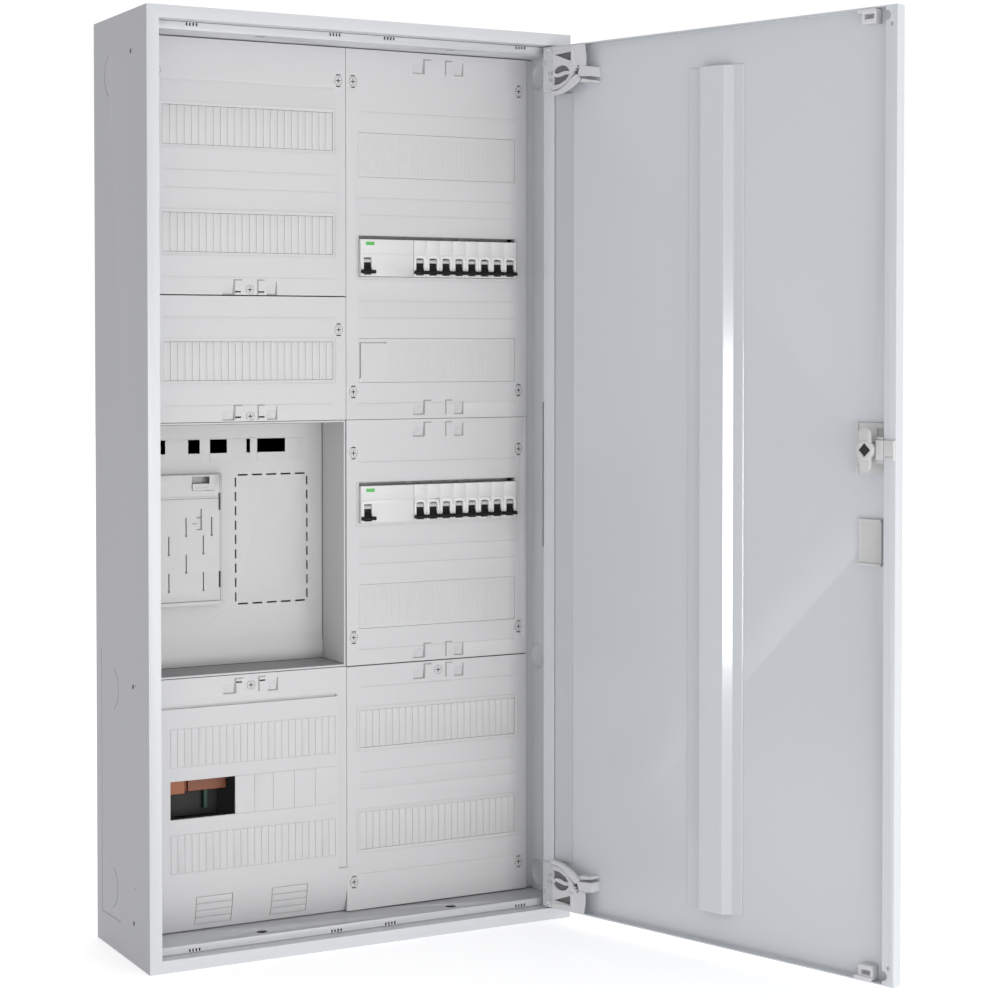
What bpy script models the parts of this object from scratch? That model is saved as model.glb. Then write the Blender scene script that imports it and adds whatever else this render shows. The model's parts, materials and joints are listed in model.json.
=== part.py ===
"""Wall-mounted two-field meter and distribution cabinet, door open, in metres with +Z up."""
import math

import bmesh
import bpy
import numpy as np

MM = 0.001

# Enclosure, millimetres. Heights are measured from the underside of the cabinet.
WIDTH = 550.0
HEIGHT = 1100.0
DEPTH = 190.0
SHEET = 1.5
GAP = 0.3
BORDER = 14.5
COVER_FACE = 122.5
COVER_SKIN = 2.0
COVER_RIM = 10.0
FIELD = 250.0
RETURN_BACK = 112.0
FLANGE_FACE = 117.5
FIXING_X = 200.0
FIXING_Z = 460.0
FIXING_RADIUS = 4.5

# Dished seats and latch slots in the returns of the front frame
SEAT_HEIGHTS = (47.0, 322.0, 1053.0)
SEAT_BACK = 134.0
SEAT_RADIUS = 16.0
SLOT_LOW = 462.0
SLOT_HIGH = 644.0

# Inner frame: front face of the uprights, and the shelves of the two cross rails
UPRIGHT_FACE = 110.0
SHELF_IN = 22.5
SHELF_FRONT = 171.0
LIP_END = 15.0
RAIL_SLOTS = (-214.5, -35.5, 35.5, 214.5)
RAIL_SLOT_IN = 17.4
SHELF_HOLES = (-125.0, 125.0)
SHELF_HOLE_Y = -155.0
SHELF_HOLE_RADIUS = 7.0

# The two fields and the windows of their covers
LEFT = (-FIELD + GAP, -GAP)
RIGHT = (GAP, FIELD - GAP)
CENTRE_LEFT = -FIELD / 2
CENTRE_RIGHT = FIELD / 2
MODULE = 18.0
WINDOW_WIDE = 12 * MODULE
WINDOW_TALL = 46.0
LOW_WINDOW = (-23.0, 23.0)
TALL_WINDOW = (-27.0, 27.0)
DEVICE_WINDOW = (-23.0, 27.0)
TALL_STRIPS = (947.0, 697.0, 396.5)
BEAD_TALL = 55.0
WINDOW_RIM = 9.0

# Deep edges of a pair of hook marks, as x and z ranges about the middle of the pair
HOOK_STROKES = (
    (-35.0, -20.0, -9.2, -8.2),
    (-20.0, -19.0, -9.2, 9.2),
    (-19.0, -9.5, 8.2, 9.2),
    (9.5, 19.0, 8.2, 9.2),
    (9.5, 10.5, -9.2, 9.2),
    (22.0, 35.0, -9.2, -8.2),
    (34.0, 35.0, -9.2, 6.0),
)

# Lower left cover: centres of its scored rows, their ends and the cut-out
LOWER_ROWS = (244.0, 182.5, 119.0)
LOWER_X = (-227.0, -16.5)
BLANK_LINES = (-121.6, -97.7, -70.4, -43.1)
CUTOUT = (-227.0, -146.0, 160.0, 205.0)
LEDGE_RISE = 3.0
FOOT_SWEEP = 10.5
FOOT_STEPS = 10

# Meter recess
TRAY = (-249.7, -1.2, 325.6, 624.6)
TRAY_BACK = -57.5
ADAPTER = (-227.0, -138.5, 403.5, 560.5)
ADAPTER_SLOTS = (
    (-207.8, 477.0),
    (-207.8, 433.0),
    (-186.0, 499.0),
    (-186.0, 455.0),
    (-164.3, 477.0),
    (-164.3, 433.0),
    (-153.5, 499.0),
)
ADAPTER_SLOT_RISE = 20.5

# Device rows: height of each rail centre, front of the devices, and their toggles
ROW_1 = 822.0
ROW_2 = 521.5
NOSE_FACE = 127.5
RCD_TOGGLE_X = 26.8
TOGGLE_Y = -121.0
TOGGLE_DROP = 8.0
TOGGLE_DOWN = 45.0
RCD_GRIP = 9.5
MCB_GRIP = 8.4

# Door
DOOR_OPEN = 108.1
DOOR_GAP = 2.5
PIVOT_IN = 6.0
PIVOT_BACK = 5.0
LEAF_THICK = 14.0
LEAF_SKIN = 1.5
LEAF_LIP = 14.8
PIN_RADIUS = 2.5
PIVOT_X = WIDTH / 2 - BORDER - DOOR_GAP - PIVOT_IN
PIVOT_Y = -DEPTH + PIVOT_BACK
LEAF_FREE = WIDTH - 2 * (BORDER + DOOR_GAP) - PIVOT_IN
LEAF_FRONT = -PIVOT_BACK
LEAF_BACK = LEAF_THICK - PIVOT_BACK
LEAF_LOW = 16.5
LEAF_HIGH = HEIGHT - 16.5
STIFFENER_SHIFT = 1.7
STIFFENER_LOW = 54.0
STIFFENER_HIGH = 1039.0
LATCH_U = 475.5
LATCH_Z = 601.8


def clear_scene():
    for obj in list(bpy.data.objects):
        bpy.data.objects.remove(obj, do_unlink=True)
    for store in (bpy.data.meshes, bpy.data.materials, bpy.data.curves):
        for item in list(store):
            store.remove(item)


def material(name, colour, metallic=0.0, roughness=0.5):
    found = bpy.data.materials.get(name)
    if found:
        return found
    made = bpy.data.materials.new(name)
    made.use_nodes = True
    shader = made.node_tree.nodes["Principled BSDF"]
    shader.inputs["Base Color"].default_value = (*colour, 1.0)
    shader.inputs["Metallic"].default_value = metallic
    shader.inputs["Roughness"].default_value = roughness
    made.diffuse_color = (*colour, 1.0)
    return made


def world_map(point):
    x, y, z = point
    return (x * MM, y * MM, (z - HEIGHT / 2) * MM)


def door_map(point):
    """Door coordinates: u away from the pivot, v into the cabinet when closed, z up."""
    u, v, z = point
    turn = math.radians(DOOR_OPEN)
    x = PIVOT_X - u * math.cos(turn) - v * math.sin(turn)
    y = PIVOT_Y - u * math.sin(turn) + v * math.cos(turn)
    return (x * MM, y * MM, (z - HEIGHT / 2) * MM)


def finish(name, bm, mat, place=world_map, origin=(0.0, 0.0, HEIGHT / 2), smooth=False):
    """Turn a millimetre bmesh into a placed object with its origin at the given point."""
    origin = np.array(place(origin))
    for vert in bm.verts:
        vert.co = tuple(np.array(place(tuple(vert.co))) - origin)
    bmesh.ops.recalc_face_normals(bm, faces=bm.faces)
    if bm.calc_volume(signed=True) < 0:
        bmesh.ops.reverse_faces(bm, faces=bm.faces)
    mesh = bpy.data.meshes.new(name)
    bm.to_mesh(mesh)
    bm.free()
    mesh.materials.clear()
    mesh.materials.append(mat)
    for face in mesh.polygons:
        face.use_smooth = smooth
        face.material_index = 0
    obj = bpy.data.objects.new(name, mesh)
    obj.location = tuple(origin)
    bpy.context.scene.collection.objects.link(obj)
    if smooth:
        mesh.set_sharp_from_angle(angle=math.radians(35.0))
    return obj


def ordered_blocks(ops):
    """Like block_mesh, with the additions and cuts made in the order they are listed."""
    marks = []
    for axis in range(3):
        ends = {round(box[2 * axis + side], 5) for _, box in ops for side in (0, 1)}
        marks.append(np.array(sorted(ends)))
    solid = np.zeros([len(axis) + 1 for axis in marks], bool)
    for adding, box in ops:
        span = []
        for axis in range(3):
            low = int(np.searchsorted(marks[axis], round(box[2 * axis], 5)))
            high = int(np.searchsorted(marks[axis], round(box[2 * axis + 1], 5)))
            span.append(slice(low + 1, high + 1))
        solid[tuple(span)] = adding
    return grid_mesh(marks, solid)


def grid_mesh(marks, solid):
    bm = bmesh.new()
    verts = {}
    for axis in range(3):
        first, second = [other for other in range(3) if other != axis]
        change = np.diff(solid.astype(np.int8), axis=axis)
        for place in np.argwhere(change):
            corners = []
            for step_a, step_b in ((0, 0), (1, 0), (1, 1), (0, 1)):
                index = [0, 0, 0]
                index[axis] = int(place[axis])
                index[first] = int(place[first]) - 1 + step_a
                index[second] = int(place[second]) - 1 + step_b
                key = tuple(index)
                if key not in verts:
                    verts[key] = bm.verts.new([marks[side][key[side]] for side in range(3)])
                corners.append(verts[key])
            bm.faces.new(corners)
    bmesh.ops.recalc_face_normals(bm, faces=bm.faces)
    bmesh.ops.dissolve_limit(bm, angle_limit=0.001, verts=bm.verts, edges=bm.edges)
    return bm


def block_mesh(adds, cuts=()):
    """One closed mesh of axis-aligned boxes added together, less the boxes cut away."""
    return ordered_blocks([(True, box) for box in adds] + [(False, box) for box in cuts])


def blocks(name, mat, adds, cuts=(), place=world_map, origin=(0.0, 0.0, HEIGHT / 2)):
    return finish(name, block_mesh(adds, cuts), mat, place, origin)


def prism_mesh(points, axis, low, high):
    """Extrude a closed outline along one axis. The outline gives the other two in order."""
    bm = bmesh.new()
    rings = []
    for level in (low, high):
        ring = []
        for pair in points:
            co = list(pair)
            co.insert(axis, level)
            ring.append(bm.verts.new(co))
        rings.append(ring)
    bm.faces.new(rings[0])
    bm.faces.new(list(reversed(rings[1])))
    count = len(points)
    for step in range(count):
        after = (step + 1) % count
        bm.faces.new((rings[0][step], rings[1][step], rings[1][after], rings[0][after]))
    bmesh.ops.recalc_face_normals(bm, faces=bm.faces)
    return bm


def arc(centre, radius, start, end, steps):
    """Points on an arc, angles in degrees."""
    points = []
    for step in range(steps + 1):
        angle = math.radians(start + (end - start) * step / steps)
        points.append((centre[0] + radius * math.cos(angle), centre[1] + radius * math.sin(angle)))
    return points


def round_mesh(centre, axis, radius, low, high, steps=24):
    outline = arc(centre, radius, 0.0, 360.0 * (steps - 1) / steps, steps - 1)
    return prism_mesh(outline, axis, low, high)


def upright_round(centre, radius, low, high, steps=24):
    """A round bar along Y with its centre given as (x, z)."""
    return round_mesh(centre, 1, radius, low, high, steps)


def joined(base, others, operation):
    """Boolean of millimetre meshes, one after another, returned as a bmesh."""
    store = bpy.data.meshes.new("work")
    base.to_mesh(store)
    base.free()
    obj = bpy.data.objects.new("work", store)
    bpy.context.scene.collection.objects.link(obj)
    helpers = []
    for other in others:
        mesh = bpy.data.meshes.new("helper")
        other.to_mesh(mesh)
        other.free()
        helper = bpy.data.objects.new("helper", mesh)
        helper.hide_render = True
        helper.display_type = "WIRE"
        bpy.context.scene.collection.objects.link(helper)
        modifier = obj.modifiers.new("cut", "BOOLEAN")
        modifier.operation = operation
        modifier.solver = "EXACT"
        modifier.object = helper
        helpers.append(helper)
    bpy.context.view_layer.update()
    graph = bpy.context.evaluated_depsgraph_get()
    result = bmesh.new()
    result.from_object(obj, graph)
    bpy.data.objects.remove(obj, do_unlink=True)
    for helper in helpers:
        bpy.data.objects.remove(helper, do_unlink=True)
    bmesh.ops.remove_doubles(result, verts=result.verts, dist=0.0005)
    bmesh.ops.dissolve_limit(result, angle_limit=0.001, verts=result.verts, edges=result.edges)
    return result


clear_scene()

STEEL_WHITE = material("powder_coated_steel", (0.74, 0.76, 0.78), 0.0, 0.45)
STEEL_SIDE = material("powder_coated_side", (0.60, 0.62, 0.64), 0.0, 0.5)
ZINC = material("zinc_plated_steel", (0.62, 0.63, 0.65), 0.9, 0.35)
COVER_PLASTIC = material("cover_plastic", (0.66, 0.66, 0.66), 0.0, 0.5)
STRIP_PLASTIC = material("strip_plastic", (0.70, 0.70, 0.70), 0.0, 0.5)
DEVICE_GREY = material("device_plastic", (0.72, 0.72, 0.70), 0.0, 0.45)
TOGGLE_BLACK = material("toggle_plastic", (0.02, 0.02, 0.02), 0.0, 0.4)
TRAY_GREY = material("tray_plastic", (0.55, 0.56, 0.57), 0.0, 0.5)
TERMINAL = material("terminal_plastic", (0.55, 0.25, 0.08), 0.0, 0.5)
DOOR_GREY = material("door_coating", (0.52, 0.54, 0.56), 0.0, 0.35)
LATCH_GREY = material("latch_plastic", (0.62, 0.63, 0.63), 0.0, 0.45)
SPINDLE_BLACK = material("spindle_black", (0.02, 0.02, 0.02), 0.2, 0.4)


def build_enclosure():
    half = WIDTH / 2
    inner = half - SHEET
    front = -(DEPTH - SHEET - GAP)
    # Rear wall with four round fixing holes
    low = SHEET + GAP
    high = HEIGHT - low
    skin = block_mesh([(-inner + GAP, inner - GAP, -SHEET, 0.0, low, high)])
    holes = []
    for x in (-FIXING_X, FIXING_X):
        for z in (HEIGHT / 2 - FIXING_Z, HEIGHT / 2 + FIXING_Z):
            holes.append(upright_round((x, z), FIXING_RADIUS, -5.0, 5.0, 32))
    finish("back_panel", joined(skin, holes, "DIFFERENCE"), STEEL_SIDE)
    # Side walls with fixing holes that match the dished seats of the front frame
    for name, side in (("side_left", -1.0), ("side_right", 1.0)):
        ends = sorted((side * half, side * inner))
        skin = block_mesh([(ends[0], ends[1], front, 0.0, 0.0, HEIGHT)])
        holes = []
        for z in SEAT_HEIGHTS:
            holes.append(round_mesh((-SEAT_BACK, z), 0, 3.0, ends[0] - 5.0, ends[1] + 5.0, 16))
        finish(name, joined(skin, holes, "DIFFERENCE"), STEEL_SIDE)
    # Upper and lower walls, each with two cable knock-outs pressed as shallow square frames
    for name, z0, z1 in (("top_panel", HEIGHT - SHEET, HEIGHT), ("bottom_panel", 0.0, SHEET)):
        plate = (-inner + GAP, inner - GAP, front, 0.0, z0, z1)
        outer = z1 if z0 > 100.0 else z0
        grooves = []
        for x in (-125.0, 125.0):
            for side in (-1.0, 1.0):
                x0 = x + side * 80.0 - 1.0
                grooves.append((x0, x0 + 2.0, -75.0, -15.0, outer - 0.6, outer + 0.6))
            for y0 in (-76.0, -15.0):
                grooves.append((x - 81.0, x + 81.0, y0, y0 + 1.0, outer - 0.6, outer + 0.6))
        blocks(name, STEEL_SIDE, [plate], grooves)


def build_front_frame():
    half = WIDTH / 2
    inner = half - BORDER
    wall = inner + SHEET
    face_back = -(DEPTH - SHEET)
    top = HEIGHT - BORDER
    adds = [(-half, half, -DEPTH, face_back, 0.0, HEIGHT)]
    cuts = [(-inner, inner, -DEPTH - 5.0, face_back + 0.0, BORDER, top)]
    sides = []
    for side in (-1.0, 1.0):
        ends = sorted((side * inner, side * wall))
        sides.append((ends[0], ends[1], face_back, -RETURN_BACK, BORDER, top))
    sides.append((-wall, wall, face_back, -150.0, top, top + SHEET))
    sides.append((-wall, wall, face_back, -150.0, BORDER - SHEET, BORDER))
    # Upright flanges that reach in to the covers
    for side in (-1.0, 1.0):
        ends = sorted((side * (FIELD + GAP), side * wall))
        sides.append((ends[0], ends[1], -FLANGE_FACE, -FLANGE_FACE + SHEET, 25.0, HEIGHT - 25.0))
    slots = []
    for side in (-1.0, 1.0):
        ends = sorted((side * (inner - 5.0), side * (wall + 5.0)))
        slots.append((ends[0], ends[1], -177.0, -145.0, SLOT_LOW, SLOT_HIGH))
    shell = [(True, box) for box in adds] + [(False, box) for box in cuts]
    shell += [(True, box) for box in sides] + [(False, box) for box in slots]
    bm = ordered_blocks(shell)
    # Dished seats: a shallow cup behind each round hole, open towards the inside
    cups = []
    holes = []
    for side in (-1.0, 1.0):
        for z in SEAT_HEIGHTS:
            mouth = side * inner
            floor = side * (wall + 8.0)
            inside = side * (wall + 6.5)
            ends = sorted((side * (inner + 0.4), floor))
            cups.append(round_mesh((-SEAT_BACK, z), 0, SEAT_RADIUS + 1.5, ends[0], ends[1], 24))
            ends = sorted((mouth - side * 3.0, inside))
            holes.append(round_mesh((-SEAT_BACK, z), 0, SEAT_RADIUS, ends[0], ends[1], 24))
            ends = sorted((mouth, floor + side * 3.0))
            holes.append(round_mesh((-SEAT_BACK, z), 0, 4.0, ends[0], ends[1], 16))
    bm = joined(bm, cups, "UNION")
    bm = joined(bm, holes, "DIFFERENCE")
    # Hinge pins held by the upper and lower returns
    pins = []
    for z0, z1 in ((top - 12.0, top + 1.0), (BORDER - 1.0, BORDER + 12.0)):
        pins.append(round_mesh((PIVOT_X, PIVOT_Y), 2, PIN_RADIUS, z0, z1, 24))
    bm = joined(bm, pins, "UNION")
    finish("front_frame", bm, STEEL_WHITE)


def from_end(side, inset):
    """Height of something measured inwards from the bottom (-1) or the top (1) of the cabinet."""
    return HEIGHT / 2 + side * (HEIGHT / 2 - inset)


def build_inner_frame():
    inner = WIDTH / 2 - BORDER - 1.0
    far = WIDTH / 2 - 2.5
    rear = -SHEET - GAP
    low_end = 2.5
    high_end = HEIGHT - low_end
    face = -UPRIGHT_FACE
    behind = face + SHEET
    # A flat strip at the left, and channels between the fields and at the right
    adds = [(-far, -FIELD - 2 * GAP, face, behind, low_end, high_end)]
    for web, low, high in ((6.5, 0.5, 14.5), (far - SHEET, 236.5, far)):
        adds.append((web, web + SHEET, face, rear, low_end, high_end))
        adds.append((low, high, face, behind, 30.0, 1070.0))
        adds.append((low, high, rear - SHEET, rear, low_end, high_end))
    # Cross rails: a shelf beside the covers with a slotted lip in front and a web behind
    cuts = []
    holes = []
    for side in (-1.0, 1.0):
        shelf = sorted((from_end(side, SHELF_IN), from_end(side, SHELF_IN + SHEET)))
        lip = sorted((from_end(side, SHELF_IN + SHEET), from_end(side, LIP_END)))
        web = sorted((from_end(side, SHELF_IN + SHEET), from_end(side, low_end)))
        plate = sorted((from_end(side, low_end), from_end(side, low_end + SHEET)))
        adds.append((-inner, inner, -SHELF_FRONT, face, *shelf))
        adds.append((-inner, inner, -SHELF_FRONT, SHEET - SHELF_FRONT, *lip))
        adds.append((-inner, inner, face - SHEET, face, *web))
        adds.append((-far, far, face, rear, *plate))
        slot = (from_end(side, RAIL_SLOT_IN) - 1.8, from_end(side, RAIL_SLOT_IN) + 1.8)
        for x in RAIL_SLOTS:
            for step in range(4):
                x0 = x + (step - 1.5) * 4.0
                cuts.append((x0 - 1.0, x0 + 1.0, -SHELF_FRONT - 1.0, -SHELF_FRONT + 3.0, *slot))
        for x in SHELF_HOLES:
            middle = (x, SHELF_HOLE_Y)
            holes.append(round_mesh(middle, 2, SHELF_HOLE_RADIUS, shelf[0] - 1.0, shelf[1] + 1.0))
    bm = joined(block_mesh(adds, cuts), holes, "DIFFERENCE")
    finish("inner_frame", bm, ZINC)


def build_rails():
    for name, z in (("din_rail_1", ROW_1), ("din_rail_2", ROW_2)):
        adds = [
            (8.3, 270.9, -52.5, -51.5, z - 13.5, z + 13.5),
            (8.3, 270.9, -59.0, -51.5, z + 12.5, z + 13.5),
            (8.3, 270.9, -59.0, -51.5, z - 13.5, z - 12.5),
            (8.3, 270.9, -59.0, -58.0, z + 12.5, z + 17.5),
            (8.3, 270.9, -59.0, -58.0, z - 17.5, z - 12.5),
        ]
        cuts = []
        for x in (30.0, 120.0, 210.0, 245.0):
            cuts.append((x - 9.0, x + 9.0, -60.0, -50.0, z - 3.1, z + 3.1))
        blocks(name, ZINC, adds, cuts)


def cover_boxes(x0, x1, z0, z1):
    front = -COVER_FACE
    back = front + COVER_SKIN
    rim = front + COVER_RIM
    adds = [(x0, x1, front, rim, z0, z1)]
    cuts = [(x0 + COVER_SKIN, x1 - COVER_SKIN, back, rim + 5.0, z0 + COVER_SKIN, z1 - COVER_SKIN)]
    return adds, cuts


def window_boxes(centre_x, z, span, adds, cuts):
    """A window, with a raised bead around the lower ones and a deep rim around the devices."""
    front = -COVER_FACE
    bead = BEAD_TALL / 2
    left = centre_x - WINDOW_WIDE / 2
    right = centre_x + WINDOW_WIDE / 2
    low = z + span[0]
    high = z + span[1]
    if span == DEVICE_WINDOW:
        rim = (low - COVER_SKIN, high + COVER_SKIN)
        adds.append((left - COVER_SKIN, right + COVER_SKIN, front, front + WINDOW_RIM, *rim))
    if span != TALL_WINDOW:
        adds.append((left - 3.5, right + 3.5, front - 0.6, front, z - bead, z + bead))
        inside = (z - bead + 1.0, z + bead - 1.0)
        cuts.append((left - 2.5, right + 2.5, front - 5.0, front, *inside))
    cuts.append((left, right, front - 5.0, front + 20.0, low, high))


def hook_boxes(centre_x, z, cuts):
    """The deep edges of a pair of moulded hook marks."""
    for x0, x1, z0, z1 in HOOK_STROKES:
        depth = (-COVER_FACE - 1.0, -COVER_FACE + 0.9)
        cuts.append((centre_x + x0, centre_x + x1) + depth + (z + z0, z + z1))


def build_covers():
    plan = (
        ("cover_left_upper", LEFT, 775.0, 1075.0, (973.0, 848.0), (784.5,)),
        ("cover_left_middle", LEFT, 625.0, 775.0, (697.0,), (636.0,)),
        ("cover_right_upper", RIGHT, 625.0, 1075.0, (947.0, ROW_1, 697.0), (1058.5, 639.0)),
        ("cover_right_middle", RIGHT, 325.0, 625.0, (ROW_2, 396.5), (612.0, 338.0)),
        ("cover_right_lower", RIGHT, 25.0, 325.0, (246.5, 121.5), (312.0,)),
    )
    for name, span, z0, z1, windows, hooks in plan:
        centre = (span[0] + span[1]) / 2
        adds, cuts = cover_boxes(span[0], span[1], z0 + GAP, z1 - GAP)
        bead_adds = []
        bead_cuts = []
        for z in windows:
            window = LOW_WINDOW
            if z in (ROW_1, ROW_2):
                window = DEVICE_WINDOW
            elif span == RIGHT and z in TALL_STRIPS:
                window = TALL_WINDOW
            window_boxes(centre, z, window, bead_adds, bead_cuts)
        for z in hooks:
            hook_boxes(centre, z, bead_cuts)
        ops = [(True, adds[0]), (False, cuts[0])]
        ops += [(True, box) for box in bead_adds] + [(False, box) for box in bead_cuts]
        finish(name, ordered_blocks(ops), COVER_PLASTIC)


def build_lower_cover():
    x0, x1 = LEFT
    front = -COVER_FACE
    raised = front - LEDGE_RISE
    back = front + COVER_SKIN
    z0 = 25.0 + GAP
    z1 = 325.0 - GAP
    ops = [
        (True, (x0, x1, front, front + COVER_RIM, 79.0, z1)),
        (False, (x0 + COVER_SKIN, x1 - COVER_SKIN, back, front + 20.0, 70.0, z1 - COVER_SKIN)),
        (True, (x0 + 4.0, -12.0, raised, front, 79.0, 290.0)),
        (False, (x0 + 6.0, -14.0, raised + 2.0, back, 70.0, 288.0)),
    ]
    for z in LOWER_ROWS:
        low = z - WINDOW_TALL / 2
        high = z + WINDOW_TALL / 2
        for edge in (low, high - 0.8):
            span = (LOWER_X[0], LOWER_X[1], raised - 1.0, raised + 0.6)
            ops.append((False, span + (edge, edge + 0.8)))
    middle = LOWER_ROWS[1]
    for x in BLANK_LINES:
        span = (x - 0.4, x + 0.4, raised - 1.0, raised + 0.6)
        ops.append((False, span + (middle - WINDOW_TALL / 2, middle + WINDOW_TALL / 2)))
    for z in (LOWER_ROWS[0], LOWER_ROWS[2]):
        for step in range(25):
            x = LOWER_X[0] + (LOWER_X[1] - LOWER_X[0]) * step / 24
            low = min(max(x - 0.4, LOWER_X[0]), LOWER_X[1] - 0.8)
            span = (low, low + 0.8, raised - 1.0, raised + 0.6)
            ops.append((False, span + (z - WINDOW_TALL / 2, z + WINDOW_TALL / 2)))
    ops.append((False, CUTOUT[:2] + (raised - 5.0, front + 20.0) + CUTOUT[2:]))
    cuts = []
    hook_boxes((x0 + x1) / 2, 312.0, cuts)
    ops += [(False, box) for box in cuts]
    plate = ordered_blocks(ops)
    # The foot of the cover sweeps back towards the cable space
    outer = [(raised, 79.5)]
    for step in range(FOOT_STEPS + 1):
        share = step / FOOT_STEPS
        outer.append((raised + FOOT_SWEEP * share**2, 76.0 + (z0 - 76.0) * share))
    inside = [(y + COVER_SKIN, z) for y, z in reversed(outer)]
    outline = outer + inside
    foot = prism_mesh(outline, 0, x0, x1)
    plate = joined(plate, [foot], "UNION")
    finish("cover_left_lower", plate, COVER_PLASTIC)


def build_strips():
    """Blanking strips of twelve modules. The lower ones are scored every half module."""
    front = -COVER_FACE + 0.4
    plan = (
        ("strip_left_1", CENTRE_LEFT, 973.0, LOW_WINDOW),
        ("strip_left_2", CENTRE_LEFT, 848.0, LOW_WINDOW),
        ("strip_left_3", CENTRE_LEFT, 697.0, LOW_WINDOW),
        ("strip_right_1", CENTRE_RIGHT, TALL_STRIPS[0], TALL_WINDOW),
        ("strip_right_2", CENTRE_RIGHT, TALL_STRIPS[1], TALL_WINDOW),
        ("strip_right_3", CENTRE_RIGHT, TALL_STRIPS[2], TALL_WINDOW),
        ("strip_right_4", CENTRE_RIGHT, 246.5, LOW_WINDOW),
        ("strip_right_5", CENTRE_RIGHT, 121.5, LOW_WINDOW),
    )
    for name, x, z, window in plan:
        wide = WINDOW_WIDE / 2 - GAP
        low = z + window[0] + GAP
        high = z + window[1] - GAP
        adds = [(x - wide, x + wide, front, front + 4.0, low, high)]
        cuts = []
        if window == LOW_WINDOW:
            for step in range(1, 24):
                groove = x + WINDOW_WIDE * (step / 24 - 0.5)
                score = (groove - 0.4, groove + 0.4, front - 1.0, front + 0.7)
                cuts.append((*score, low - 1.0, high + 1.0))
        if name == "strip_right_2":
            # A plain blank of two modules sits lower, so its upper and left edges show
            left = x - wide - 1.0
            edge = x - WINDOW_WIDE / 2 + 3.0
            sunk = (front - 1.0, front + 2.5)
            cuts.append((left, edge, *sunk, low + 5.5, high - 4.0))
            cuts.append((left, edge + 34.0, *sunk, high - 5.6, high - 4.0))
        blocks(name, STRIP_PLASTIC, adds, cuts)


def build_meter_tray():
    x0, x1, z0, z1 = TRAY
    front = -COVER_FACE
    wall = 2.0
    ops = [
        (True, (x0, x1, front, TRAY_BACK + wall, z0, z1)),
        (False, (x0 + wall, x1 - wall, front - 5.0, TRAY_BACK, z0 + wall, z1 - wall)),
    ]
    # Row of perforations around the knock-out field
    left, right, low, high = -118.0, -24.0, 401.0, 558.0
    through = (TRAY_BACK - 5.0, TRAY_BACK + 5.0)
    for step in range(5):
        x = left + (right - left) * (step + 0.5) / 5
        for z in (low, high):
            ops.append((False, (x - 6.5, x + 6.5) + through + (z - 1.0, z + 1.0)))
    for step in range(9):
        z = low + (high - low) * (step + 0.5) / 9
        for x in (left, right):
            ops.append((False, (x - 1.0, x + 1.0) + through + (z - 5.5, z + 5.5)))
    # Three slightly raised label fields
    for x, wide in ((-190.0, 26.0), (-125.0, 26.0), (-60.0, 30.0)):
        ops.append((True, (x - wide, x + wide, TRAY_BACK - 0.6, TRAY_BACK, 575.0, 602.0)))
    finish("meter_tray", ordered_blocks(ops), TRAY_GREY)
    # Adapter plate with its slotted guide
    rear = TRAY_BACK - GAP
    face = rear - 12.0
    a0, a1, b0, b1 = ADAPTER
    ops = [
        (True, (a0, a1, face, rear, b0, b1)),
        (False, (a0 + 2.0, a1 - 2.0, face + 2.5, rear + 1.0, b0 + 2.0, b1 - 2.0)),
        (False, (a0, a1 - 2.0, face - 1.0, face + 0.8, 533.6, 534.6)),
        (False, (a1 - 2.6, a1 - 1.8, face - 1.0, face + 0.8, b0, b1)),
        (False, (a0, a1, face - 1.0, face + 0.8, b0 + 4.0, b0 + 4.8)),
    ]
    # Slots with their long sides upright, and the deep slots beside the right edge
    for x, z in ADAPTER_SLOTS:
        rise = ADAPTER_SLOT_RISE / 2
        ops.append((False, (x - 0.7, x + 0.7, face - 1.0, face + 5.0, z - rise, z + rise)))
    for z0, z1 in ((517.5, 538.0), (424.0, 443.5)):
        ops.append((False, (a1 - 6.2, a1 - 3.4, face - 1.0, face + 5.0, z0, z1)))
    # Window of the sliding catch, open along the upper edge
    slot = (a0 + 48.5, a0 + 71.0)
    ops.append((False, (slot[0], slot[1], face - 1.0, face + 5.0, 541.5, b1 - 2.4)))
    finish("meter_adapter", ordered_blocks(ops), TRAY_GREY)
    ops = [
        (True, (slot[0] + GAP, slot[1] - GAP, face - 2.0, face + 2.2, 541.8, 549.6)),
        (True, (slot[0] - 3.0, slot[1] + 3.0, face + 2.8, face + 4.3, 539.8, 549.6)),
        (True, (slot[0] + 3.0, slot[1] - 3.0, face + 2.0, face + 3.0, 543.0, 548.5)),
        (False, (slot[0] + 4.0, slot[1] - 4.0, face - 3.0, face - 1.0, 544.5, 546.5)),
    ]
    bm = ordered_blocks(ops)
    finish("adapter_catch", bm, TRAY_GREY, origin=((slot[0] + slot[1]) / 2, face, 545.7))


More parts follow.
